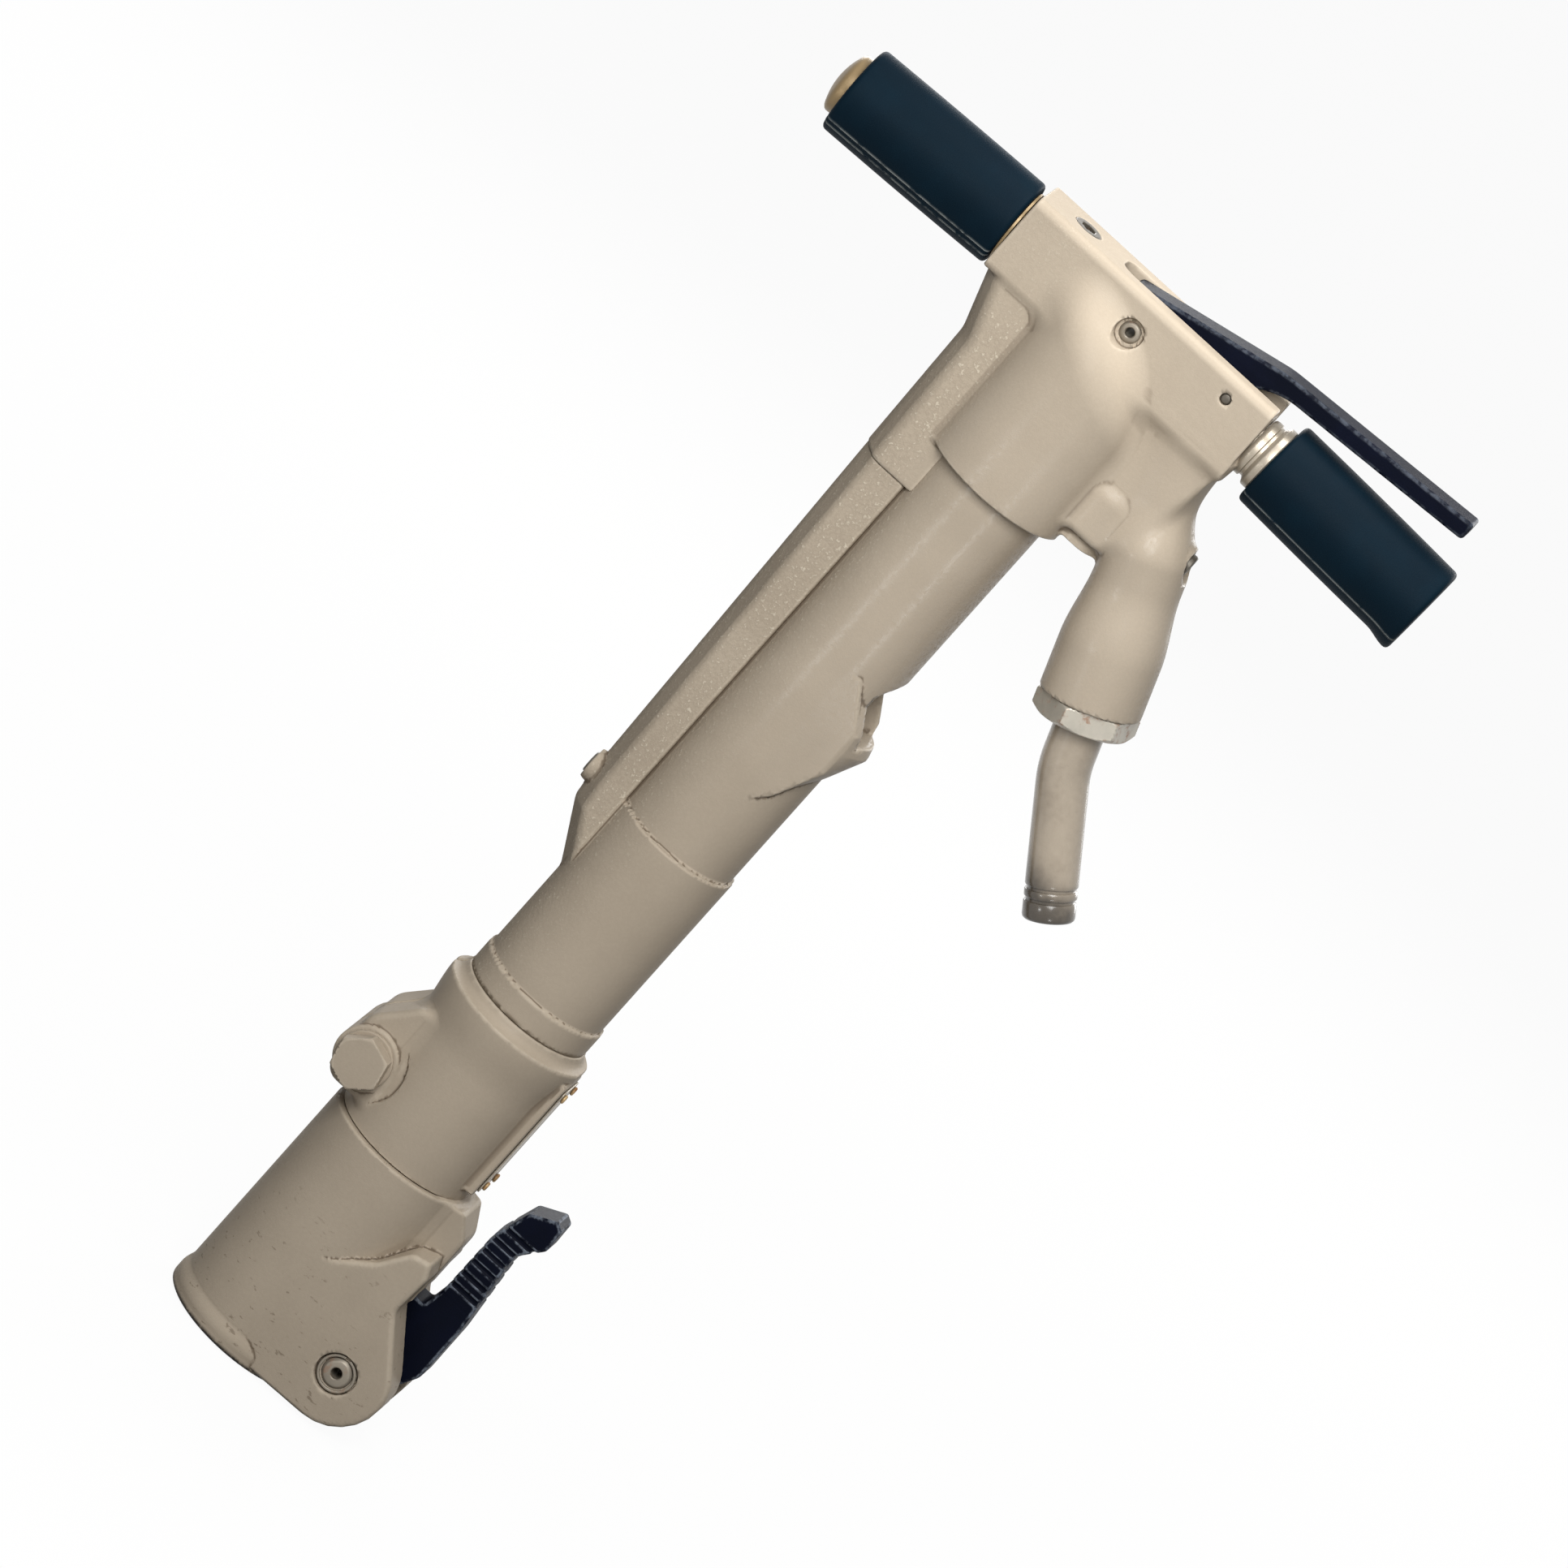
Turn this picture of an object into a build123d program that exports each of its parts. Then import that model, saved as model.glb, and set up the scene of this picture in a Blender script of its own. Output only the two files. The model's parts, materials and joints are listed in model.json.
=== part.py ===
# Pneumatic pavement breaker with a T-handle, in millimetres.
# The origin is the middle of the nose face. +Z runs up the tool to the handle,
# +X points to the lever and air inlet, and -Y is the front.
from build123d import *
import math
import os

os.makedirs("parts", exist_ok=True)

# Fits
PRESS_GAP = 0.02
RUN_GAP = 0.05
SEAT_GAP = 0.05
FREE_GAP = 0.4

# Chisel socket and nose
SHANK_AF = 31.75
SHANK_GAP = 0.2
SHANK_LENGTH = 152.4
THROAT_R = 27.0
THROAT_DEPTH = 80.0
MOUTH_CHAMFER = 2.0
CHISEL_BUSHING_R = 24.5
NOSE_R = 43.0
LIP_R = 45.0
LIP_HEIGHT = 14.0
LIP_CHAMFER = 3.0
FRONTHEAD_LENGTH = 131.0
NECK_R = 31.0
NECK_LENGTH = 54.0
BUFFER_THICK = 3.0

# Latch cheeks and lug on the fronthead
LATCH_PIN_X = 52.0
LATCH_PIN_Z = 30.0
LATCH_PIN_R = 8.0
LATCH_PIN_BORE_R = 3.0
LATCH_PIN_CHAMFER = 1.5
PIN_RING_R = 11.0
PIN_RING_THICK = 1.6
PIN_RING_RECESS = 3.0
LOBE_R = 28.0
CHEEK_HALF = 38.0
CHEEK_INNER_X = 8.0
CHEEK_CREST_X = 38.0
CHEEK_CREST_Z = 92.0
CHEEK_ROOT_DROP = 14.0
CHEEK_NOTCH_Z = 74.0
LUG_REACH = 55.5
LUG_HALF = 22.0
LUG_FOOT_Z = 84.0
LUG_CHAMFER = 9.0
LUG_TOP_CHAMFER = 9.0

# Latch
LATCH_WIDTH = 22.0
LATCH_HUB_R = 19.0
LATCH_TOE_REACH = 31.0
LATCH_TOE_RISE = 26.0
LATCH_TOE_THICK = 11.0
LATCH_SHOULDER_R = 50.0
LATCH_SHOULDER_HALF = 8.5
LATCH_BODY_REACH = 31.5
LATCH_TAIL_THICK = 18.0
LATCH_TAIL_RISE = 101.0
LATCH_HOOK_RISE = 28.0
LATCH_HOOK_REACH = 5.0
LATCH_RIB_COUNT = 6
LATCH_RIB_PITCH = 8.0
LATCH_RIB_GROOVE = 2.6
LATCH_RIB_DEPTH = 1.2
PLUNGER_X = 48.5
PLUNGER_R = 4.2
PLUNGER_LENGTH = 19.5
PLUNGER_POCKET = 36.0
LATCH_SPRING_WIRE = 1.0
LATCH_SPRING_TURNS = 5

# Clamp sleeve
SLEEVE_LENGTH = 97.0
SLEEVE_R = 40.0
RIM_R = 43.0
RIM_HEIGHT = 25.0
RIM_FILLET = 3.0
SPLIT_WIDTH = 5.0
EAR_REACH = 55.0
EAR_HALF = 29.0
EAR_FOOT = 9.0
EAR_HEIGHT = 40.0
EAR_SHOULDER = 20.0
BOLT_X = 42.0
BOLT_RISE = 29.0
BOLT_R = 8.0
BOLT_HOLE_R = 8.5
BOLT_AF = 26.0
BOLT_HEAD = 10.0
BOLT_NUT = 13.0
BOLT_SPARE = 4.0
WASHER_R = 15.0
WASHER_THICK = 3.0
SPOT_R = 17.0
SPOT_PROUD = 2.0
PAD_REACH = 42.5
PAD_HALF = 17.0
PAD_LENGTH = 75.0
PAD_TOP_GAP = 13.0
PLATE_THICK = 1.0
PLATE_MARGIN = 2.5
SCREW_HEAD_R = 2.6
SCREW_HEAD_RISE = 1.8
SCREW_SHANK_R = 1.5
SCREW_SHANK_LENGTH = 5.0
SCREW_INSET = 4.5

# Cylinder
CYLINDER_EXPOSED = 361.0
COLLAR_R = 36.5
COLLAR_HEIGHT = 16.0
LOWER_R = 35.5
LOWER_LENGTH = 103.0
UPPER_R = 33.5
SOCKET_DEPTH = 43.0
BORE_R = 22.2
GUIDE_R = 27.0
DUCT_HALF = 18.5
DUCT_FOOT_REACH = 54.5
DUCT_TOP_REACH = 61.5
DUCT_FOOT_RISE = 104.0
DUCT_RAMP = 38.0
DUCT_CORNER = 7.0
DUCT_PASSAGE_X = 45.0
DUCT_PASSAGE_R = 6.0
DUCT_PLUG_RISE = 12.0
DUCT_PLUG_R = 6.0
DUCT_PLUG_PROUD = 3.5
DUCT_PLUG_LENGTH = 9.0
DUCT_PORT_R = 4.0
EXHAUST_Z = 440.0
EXHAUST_REACH = 44.5
EXHAUST_HALF = 23.5
EXHAUST_HEIGHT = 46.0
EXHAUST_RAMP = 20.0
EXHAUST_BROW = 14.0
EXHAUST_SLOT_HALF = 17.5
EXHAUST_SLOT_HEIGHT = 32.0

# Piston, tappet and their guides
TAPPET_TRAVEL = 12.0
TAPPET_NOSE_R = 17.5
TAPPET_NOSE_LENGTH = 25.6
TAPPET_HEAD_R = 21.5
TAPPET_HEAD_LENGTH = 22.0
TAPPET_STEM_R = 15.0
TAPPET_STEM_LENGTH = 26.0
TAPPET_EDGE = 2.0
BUSHING_ROOM_R = 19.5
PISTON_STEM_LENGTH = 14.0
PISTON_LENGTH = 130.0
PISTON_GROOVE_WIDTH = 4.0
PISTON_GROOVE_DEPTH = 1.5

# Valve set on top of the cylinder
VALVE_GASKET_THICK = 1.0
VALVE_SEAT_THICK = 9.0
VALVE_CHEST_HEIGHT = 10.0
VALVE_CHEST_R = 26.0
VALVE_TRAVEL = 2.0
VALVE_CAP_THICK = 7.0
VALVE_PORT_R = 9.0
VALVE_RIM = 4.0
VALVE_DOWEL_R = 2.0
VALVE_DOWEL_X = 29.5

# Backhead
BARREL_R = 40.0
BARREL_LENGTH = 83.0
T_HEIGHT = 45.0
T_HALF = 22.0
T_LEFT = 75.0
T_RIGHT = 81.0
T_FILLET = 6.0
HOOD_HALF = 21.5
HOOD_DROP = 38.0
HOOD_FOOT_REACH = 62.5
HOOD_SHOULDER_DROP = 30.0
HOOD_CORNER = 8.0
WEB_HALF = 15.0
VALVE_BOSS_R = 14.5
VALVE_BOSS_FOOT = 8.0
LEG_TILT = 19.7
LEG_END_X = 106.3
LEG_END_DROP = 49.3
LEG_END_R = 26.5
LEG_NECK_R = 22.5
LEG_FLARE_LENGTH = 36.0
LEG_TAPER_LENGTH = 26.0
LEG_NECK_LENGTH = 24.0
LEG_ROOT_R = 14.5
LEG_ROOT_TAPER = 20.0
LEG_LENGTH = 142.0
LEG_BORE_R = 12.0
LEG_BORE_LENGTH = 100.0
LEG_MOUTH_FILLET = 2.0

# Throttle
LEVER_PIN_X = 1.0
LEVER_PIN_DROP = 20.0
LEVER_PIN_R = 5.5
LEVER_PIN_BORE_R = 2.5
LEVER_PIN_RECESS_R = 7.5
LEVER_PIN_RECESS = 1.5
STOP_PIN_X = 57.5
STOP_PIN_DROP = 12.0
STOP_PIN_R = 3.0
LEVER_WIDTH = 18.0
LEVER_HUB_R = 9.5
LEVER_TIP_X = -17.0
LEVER_TIP_DROP = 3.0
LEVER_KNEE_X = 72.0
LEVER_KNEE_RISE = 15.0
LEVER_REACH = 188.5
LEVER_END_RISE = 22.2
LEVER_END_THICK = 10.0
LEVER_KNEE_THICK = 10.0
LEVER_FOOT_DROP = 15.0
LEVER_FOOT_HALF = 5.0
LEVER_SWING = 4.0
SLOT_LEFT = 24.0
SLOT_RIGHT = 66.0
SLOT_DEPTH = 31.0
SLOT_SADDLE_DEPTH = 8.0
THROTTLE_X = 48.0
THROTTLE_CHAMBER_R = 11.0
THROTTLE_STEM_R = 4.0
THROTTLE_HEAD_R = 8.5
THROTTLE_HEAD_THICK = 8.0
THROTTLE_SEAT_R = 6.5
THROTTLE_SEAT_THICK = 8.0
THROTTLE_SEAT_RISE = 51.0
THROTTLE_GALLERY = 14.0
THROTTLE_PORT_R = 4.5
PORT_DROP = 6.0
THROTTLE_CAP_THICK = 9.0
THROTTLE_SPRING_WIRE = 1.4
THROTTLE_SPRING_TURNS = 6
OIL_PLUG_X = -49.0
OIL_PLUG_R = 8.0
OIL_PLUG_DEPTH = 7.5
PLUG_SOCKET_AF = 6.0
PLUG_SOCKET_DEPTH = 4.0
INLET_PLUG_RISE = 36.0
INLET_PLUG_SEAT_X = 96.0
INLET_PLUG_SPOT_R = 9.0
INLET_PLUG_R = 6.0
INLET_PLUG_PROUD = 3.0
INLET_PLUG_LENGTH = 8.0
INLET_PORT_R = 5.0

# Air inlet
TUBE_R = 13.335
TUBE_WALL = 3.0
TUBE_STRAIGHT = 27.6
TUBE_BEND = 15.4
TUBE_BEND_R = 60.0
TUBE_TAIL = 69.0
TUBE_GROOVE_DEPTH = 1.2
TUBE_GROOVE_WIDTH = 2.4
TUBE_GROOVE_GAP = 3.4
TUBE_GROOVE_COUNT = 2
FLANGE_R = 17.4
FLANGE_THICK = 6.0
SEAL_THICK = 3.0
NUT_AF = 47.0
NUT_THICK = 12.0
NUT_CHAMFER = 3.0
NUT_TURN = -16.6
NUT_SPIGOT_R = 19.5
NUT_SPIGOT_LENGTH = 14.0
STRAINER_LENGTH = 28.0
STRAINER_WALL = 1.2
STRAINER_SLOT = 3.0
STRAINER_SLOT_COUNT = 8

# Handle
HANDLE_DROP = 21.1
HANDLE_DROOP = 2.25
BAR_R = 14.0
BAR_SPIGOT_R = 12.0
LEFT_SPIGOT = 30.0
RIGHT_SPIGOT = 13.0
GRIP_R = 24.5
GRIP_LIP_R = 25.4
GRIP_LIP_LENGTH = 9.0
GRIP_EDGE = 2.5
LEFT_GRIP_START = 77.0
LEFT_GRIP_LENGTH = 104.0
LEFT_CAP_R = 17.0
LEFT_CAP_LENGTH = 9.0
RIGHT_GRIP_START = 94.0
RIGHT_GRIP_LENGTH = 104.0
RIGHT_GRIP_END_WALL = 6.0
RIGHT_NECK_R = 16.5
NECK_START = 2.0
NECK_RING_R = 18.5
NECK_RING_LENGTH = 4.0

# Heights up the tool
SEAM_Z = FRONTHEAD_LENGTH
NECK_TOP_Z = SEAM_Z + NECK_LENGTH
SPIGOT_Z = NECK_TOP_Z + BUFFER_THICK
SLEEVE_TOP_Z = SEAM_Z + SLEEVE_LENGTH
LOWER_TOP_Z = SLEEVE_TOP_Z + COLLAR_HEIGHT + LOWER_LENGTH
SKIRT_Z = SLEEVE_TOP_Z + CYLINDER_EXPOSED
CYLINDER_TOP_Z = SKIRT_Z + SOCKET_DEPTH
T_FOOT_Z = SKIRT_Z + BARREL_LENGTH
T_TOP_Z = T_FOOT_Z + T_HEIGHT
HOOD_Z = SKIRT_Z - HOOD_DROP
HANDLE_Z = T_TOP_Z - HANDLE_DROP
TAPPET_Z = THROAT_DEPTH + SHANK_LENGTH - TAPPET_TRAVEL
TAPPET_HEAD_Z = TAPPET_Z + TAPPET_NOSE_LENGTH
TAPPET_STEM_Z = TAPPET_HEAD_Z + TAPPET_HEAD_LENGTH
GUIDE_FOOT_Z = TAPPET_STEM_Z + TAPPET_TRAVEL + SEAT_GAP
STRIKE_Z = TAPPET_STEM_Z + TAPPET_STEM_LENGTH + TAPPET_TRAVEL
PISTON_Z = STRIKE_Z + FREE_GAP
PISTON_HEAD_Z = PISTON_Z + PISTON_STEM_LENGTH
GUIDE_TOP_Z = PISTON_HEAD_Z - SEAT_GAP
VALVE_SEAT_Z = CYLINDER_TOP_Z + VALVE_GASKET_THICK
VALVE_CHEST_Z = VALVE_SEAT_Z + VALVE_SEAT_THICK
VALVE_CAP_Z = VALVE_CHEST_Z + VALVE_CHEST_HEIGHT
CEILING_Z = VALVE_CAP_Z + VALVE_CAP_THICK
LEVER_PIN_Z = T_TOP_Z - LEVER_PIN_DROP
STOP_PIN_Z = T_TOP_Z - STOP_PIN_DROP
SLOT_FLOOR_Z = T_TOP_Z - SLOT_DEPTH
LEVER_FOOT_Z = T_TOP_Z - LEVER_FOOT_DROP
VALVE_BOSS_Z = SKIRT_Z + VALVE_BOSS_FOOT
THROTTLE_SEAT_Z = SKIRT_Z + THROTTLE_SEAT_RISE
THROTTLE_HEAD_Z = THROTTLE_SEAT_Z - SEAT_GAP - THROTTLE_HEAD_THICK
LEG_END_Z = SKIRT_Z - LEG_END_DROP
INLET_PLUG_Z = SKIRT_Z + INLET_PLUG_RISE
BOLT_Z = SEAM_Z + BOLT_RISE
PAD_TOP_Z = SLEEVE_TOP_Z - PAD_TOP_GAP
DUCT_FOOT_Z = SLEEVE_TOP_Z + DUCT_FOOT_RISE
DUCT_PLUG_Z = DUCT_FOOT_Z + DUCT_PLUG_RISE
LATCH_SHOULDER_Z = LATCH_PIN_Z + LATCH_SHOULDER_R
PLUNGER_Z = LATCH_SHOULDER_Z + FREE_GAP
PLUNGER_TOP_Z = PLUNGER_Z + PLUNGER_LENGTH
POCKET_TOP_Z = LUG_FOOT_Z + PLUNGER_POCKET

# Directions of the inlet leg and of the two handle arms
LEG_ANGLE = math.radians(LEG_TILT)
LEG_DOWN = Vector(math.sin(LEG_ANGLE), 0, -math.cos(LEG_ANGLE))
LEG_SIDE = Vector(math.cos(LEG_ANGLE), 0, math.sin(LEG_ANGLE))
LEG_END = Vector(LEG_END_X, 0, LEG_END_Z)
LEG_SECTION = Plane(origin=LEG_END, x_dir=LEG_SIDE, z_dir=(0, -1, 0))
LEG_AXIS = Axis(LEG_END, -LEG_DOWN)
LEVER_SLOT_HALF = LEVER_WIDTH / 2 + FREE_GAP
LATCH_SLOT_HALF = LATCH_WIDTH / 2 + FREE_GAP


def arm_plane(side, distance=0.0):
    """Plane across a handle arm, a given distance out from the tool's axis; side is -1 left or 1 right."""
    droop = math.radians(HANDLE_DROOP)
    along = Vector(side * math.cos(droop), 0, -math.sin(droop))
    return Plane(origin=Vector(0, 0, HANDLE_Z) + along * distance, x_dir=(0, 1, 0), z_dir=along)


def leg_plane(distance):
    """Plane across the inlet leg, looking out of its mouth, a given distance below its end."""
    return Plane(origin=LEG_END + LEG_DOWN * distance, x_dir=LEG_SIDE, z_dir=LEG_DOWN)


def polar(centre, radius, degrees):
    """Point on a circle in the XZ outline planes."""
    turn = math.radians(degrees)
    return (centre[0] + radius * math.cos(turn), centre[1] + radius * math.sin(turn))


def tangent_point(point, centre, radius):
    """Where a line from a point touches the right-hand side of a circle below it."""
    dx = point[0] - centre[0]
    dz = point[1] - centre[1]
    turn = math.atan2(dz, dx) - math.acos(radius / math.hypot(dx, dz))
    return (centre[0] + radius * math.cos(turn), centre[1] + radius * math.sin(turn))


def rod_y(x, z, radius, low, high, mode=Mode.ADD):
    """Round bar or hole along Y."""
    with Locations((x, (low + high) / 2, z)):
        Cylinder(radius, high - low, rotation=(90, 0, 0), mode=mode)


def rod_z(x, radius, low, high, mode=Mode.ADD):
    """Round bar or hole along Z in the middle plane."""
    with Locations((x, 0, (low + high) / 2)):
        Cylinder(radius, high - low, mode=mode)


def rod_x(z, radius, low, high, mode=Mode.ADD):
    """Round bar or hole along X in the middle plane."""
    with Locations(((low + high) / 2, 0, z)):
        Cylinder(radius, high - low, rotation=(0, 90, 0), mode=mode)


def coil_spring(x, low, high, radius, wire, turns):
    """Round-wire compression spring along Z, swept on two tangent arcs for each quarter turn."""
    rise = high - low - wire
    steps = 4 * turns

    def place(step):
        turn = step * math.pi / 2
        height = low + wire / 2 + rise * step / steps
        spot = Vector(x + radius * math.cos(turn), radius * math.sin(turn), height)
        slope = Vector(-radius * math.sin(turn), radius * math.cos(turn), rise / (2 * math.pi * turns))
        return spot, slope.normalized()

    with BuildPart() as coil:
        with BuildLine() as path:
            for step in range(steps):
                start, start_slope = place(step)
                end, end_slope = place(step + 1)
                chord = end - start
                both = start_slope + end_slope
                square = 4 - both.dot(both)
                lean = chord.dot(both)
                reach = (math.sqrt(lean * lean + square * chord.dot(chord)) - lean) / square
                arc_in = start + start_slope * reach
                arc_out = end - end_slope * reach
                middle = (arc_in + arc_out) / 2
                TangentArc(start, middle, tangent=start_slope)
                TangentArc(middle, end, tangent=arc_out - arc_in)
        with BuildSketch(Plane(origin=path.line @ 0, z_dir=path.line % 0)):
            Circle(wire / 2)
        sweep(path=path.line)
    return coil


# Fronthead: the nose, with a throat, two latch cheeks and a lug for the latch plunger
notch = (LATCH_PIN_X, CHEEK_NOTCH_Z)
latch_pin_spot = (LATCH_PIN_X, LATCH_PIN_Z)
lobe_touch = tangent_point(notch, latch_pin_spot, LOBE_R)
with BuildPart() as fronthead:
    with BuildSketch(Plane.XZ):
        with BuildLine():
            Polyline(
                (0, 0),
                (LIP_R - LIP_CHAMFER, 0),
                (LIP_R, LIP_CHAMFER),
                (LIP_R, LIP_HEIGHT - (LIP_R - NOSE_R)),
                (NOSE_R, LIP_HEIGHT),
                (NOSE_R, SEAM_Z),
                (NECK_R, SEAM_Z),
                (NECK_R, NECK_TOP_Z),
                (0, NECK_TOP_Z),
                close=True,
            )
        make_face()
    revolve(axis=Axis.Z)
    with BuildSketch(Plane.XZ):
        with BuildLine():
            Polyline(
                (CHEEK_INNER_X, LATCH_PIN_Z - LOBE_R),
                (LATCH_PIN_X, LATCH_PIN_Z - LOBE_R),
                latch_pin_spot,
                lobe_touch,
                notch,
                (LATCH_PIN_X, LUG_FOOT_Z + LUG_CHAMFER),
                (CHEEK_CREST_X, CHEEK_CREST_Z),
                (CHEEK_INNER_X, CHEEK_CREST_Z - CHEEK_ROOT_DROP),
                close=True,
            )
        make_face()
        with Locations(latch_pin_spot):
            Circle(LOBE_R)
    extrude(amount=CHEEK_HALF, both=True)
    with BuildSketch(Plane.XY.offset(LUG_FOOT_Z)):
        with BuildLine():
            Polyline(
                (0, -LUG_HALF - LUG_CHAMFER),
                (LUG_REACH - 2 * LUG_CHAMFER, -LUG_HALF),
                (LUG_REACH, -LUG_HALF + LUG_CHAMFER),
                (LUG_REACH, LUG_HALF - LUG_CHAMFER),
                (LUG_REACH - 2 * LUG_CHAMFER, LUG_HALF),
                (0, LUG_HALF + LUG_CHAMFER),
                close=True,
            )
        make_face()
    extrude(amount=SEAM_Z - LUG_FOOT_Z)
    with BuildSketch(Plane.XZ):
        with BuildLine():
            Polyline(
                (LUG_REACH - LUG_TOP_CHAMFER, SEAM_Z),
                (LUG_REACH, SEAM_Z - 1.5 * LUG_TOP_CHAMFER),
                (LUG_REACH + LUG_TOP_CHAMFER, SEAM_Z),
                close=True,
            )
        make_face()
    extrude(amount=CHEEK_HALF, both=True, mode=Mode.SUBTRACT)
    rod_z(0, THROAT_R, 0, THROAT_DEPTH, Mode.SUBTRACT)
    with Locations((0, 0, MOUTH_CHAMFER / 2)):
        Cone(THROAT_R + MOUTH_CHAMFER, THROAT_R, MOUTH_CHAMFER, mode=Mode.SUBTRACT)
    rod_z(0, CHISEL_BUSHING_R + PRESS_GAP, THROAT_DEPTH, NECK_TOP_Z, Mode.SUBTRACT)
    slot_top = LATCH_PIN_Z + math.hypot(LATCH_TOE_REACH, LATCH_TOE_RISE) + 2 * FREE_GAP
    slot_reach = LATCH_PIN_X + LOBE_R
    with Locations((slot_reach / 2, 0, slot_top / 2)):
        Box(slot_reach, 2 * LATCH_SLOT_HALF, slot_top, mode=Mode.SUBTRACT)
    shoulder_left = LATCH_PIN_X - LATCH_SHOULDER_HALF - FREE_GAP
    with Locations(((shoulder_left + slot_reach) / 2, 0, LUG_FOOT_Z / 2)):
        Box(slot_reach - shoulder_left, 2 * LATCH_SLOT_HALF, LUG_FOOT_Z, mode=Mode.SUBTRACT)
    rod_y(LATCH_PIN_X, LATCH_PIN_Z, LATCH_PIN_R + PRESS_GAP, -CHEEK_HALF, CHEEK_HALF, Mode.SUBTRACT)
    for side in (-1, 1):
        ends = sorted((side * CHEEK_HALF, side * (CHEEK_HALF - PIN_RING_RECESS)))
        rod_y(LATCH_PIN_X, LATCH_PIN_Z, PIN_RING_R + PRESS_GAP, *ends, Mode.SUBTRACT)
    rod_z(PLUNGER_X, PLUNGER_R + RUN_GAP, LUG_FOOT_Z, POCKET_TOP_Z, Mode.SUBTRACT)

# Chisel bushing: round outside, hexagon socket inside
with BuildPart() as chisel_bushing:
    rod_z(0, CHISEL_BUSHING_R, THROAT_DEPTH, NECK_TOP_Z)
    with BuildSketch(Plane.XY.offset(THROAT_DEPTH)):
        RegularPolygon(SHANK_AF / 2 + SHANK_GAP, 6, major_radius=False, rotation=30)
    extrude(amount=NECK_TOP_Z - THROAT_DEPTH, mode=Mode.SUBTRACT)

# Buffer ring between the fronthead's neck and the cylinder's spigot
with BuildPart() as front_buffer:
    rod_z(0, NECK_R, NECK_TOP_Z, SPIGOT_Z)
    rod_z(0, BUSHING_ROOM_R, NECK_TOP_Z, SPIGOT_Z, Mode.SUBTRACT)

# Latch: toe into the throat, hub on the pin, ribbed tail with a hook
body_outer = LATCH_PIN_X + LATCH_BODY_REACH
tail_inner = body_outer - LATCH_TAIL_THICK
tail_top = LATCH_PIN_Z + LATCH_TAIL_RISE
shoulder_turn = math.degrees(math.asin(LATCH_SHOULDER_HALF / LATCH_SHOULDER_R))
shoulder_start = polar(latch_pin_spot, LATCH_SHOULDER_R, 90 - shoulder_turn)
shoulder_crown = polar(latch_pin_spot, LATCH_SHOULDER_R, 90)
shoulder_end = polar(latch_pin_spot, LATCH_SHOULDER_R, 90 + shoulder_turn)
toe_x = LATCH_PIN_X - LATCH_TOE_REACH
toe_z = LATCH_PIN_Z + LATCH_TOE_RISE
with BuildPart() as latch:
    with BuildSketch(Plane.XZ):
        with BuildLine():
            Polyline(
                shoulder_end,
                (shoulder_end[0], toe_z),
                (toe_x, toe_z),
                (toe_x, toe_z - LATCH_TOE_THICK),
                (LATCH_PIN_X, LATCH_PIN_Z - LATCH_HUB_R / 2),
                (body_outer - LATCH_HOOK_REACH, LATCH_PIN_Z + LATCH_HUB_R / 2),
                (body_outer, LATCH_PIN_Z + LATCH_HUB_R),
                (body_outer, LATCH_PIN_Z + LATCH_TAIL_RISE / 2),
                (body_outer - LATCH_HOOK_REACH, tail_top),
                (body_outer + LATCH_HOOK_REACH, tail_top + LATCH_HOOK_RISE / 2),
                (body_outer, tail_top + LATCH_HOOK_RISE),
                (tail_inner + LATCH_HOOK_REACH, tail_top + 3 * LATCH_HOOK_RISE / 4),
                (tail_inner - LATCH_HOOK_REACH / 2, tail_top),
                (tail_inner - LATCH_HOOK_REACH / 2, LATCH_SHOULDER_Z + LATCH_HOOK_REACH),
                shoulder_start,
            )
            ThreePointArc(shoulder_start, shoulder_crown, shoulder_end)
        make_face()
        with Locations(latch_pin_spot):
            Circle(LATCH_HUB_R)
    extrude(amount=LATCH_WIDTH / 2, both=True)
    for rib in range(LATCH_RIB_COUNT):
        for side in (-1, 1):
            groove_z = tail_top + LATCH_HOOK_RISE / 4 - rib * LATCH_RIB_PITCH
            with Locations((tail_inner + LATCH_TAIL_THICK / 2, side * LATCH_WIDTH / 2, groove_z)):
                Box(2 * LATCH_TAIL_THICK, 2 * LATCH_RIB_DEPTH, LATCH_RIB_GROOVE, mode=Mode.SUBTRACT)
    rod_y(LATCH_PIN_X, LATCH_PIN_Z, LATCH_PIN_R + RUN_GAP, -LATCH_WIDTH, LATCH_WIDTH, Mode.SUBTRACT)

pin_half = CHEEK_HALF - PIN_RING_RECESS
with BuildPart() as latch_pin:
    rod_y(LATCH_PIN_X, LATCH_PIN_Z, LATCH_PIN_R, -pin_half - PIN_RING_THICK, pin_half + PIN_RING_THICK)
    chamfer(latch_pin.edges().filter_by(GeomType.CIRCLE), LATCH_PIN_CHAMFER)
    rod_y(LATCH_PIN_X, LATCH_PIN_Z, LATCH_PIN_BORE_R, -CHEEK_HALF, CHEEK_HALF, Mode.SUBTRACT)

# Spring rings that hold the latch pin, each with its gap
with BuildPart() as latch_pin_rings:
    for side in (-1, 1):
        ends = sorted((side * pin_half, side * (pin_half + PIN_RING_THICK)))
        rod_y(LATCH_PIN_X, LATCH_PIN_Z, PIN_RING_R, *ends)
    rod_y(LATCH_PIN_X, LATCH_PIN_Z, LATCH_PIN_R + PRESS_GAP, -CHEEK_HALF, CHEEK_HALF, Mode.SUBTRACT)
    with Locations((LATCH_PIN_X + PIN_RING_R, 0, LATCH_PIN_Z)):
        Box(2 * (PIN_RING_R - LATCH_PIN_R), 2 * CHEEK_HALF, LATCH_PIN_BORE_R, mode=Mode.SUBTRACT)

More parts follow.
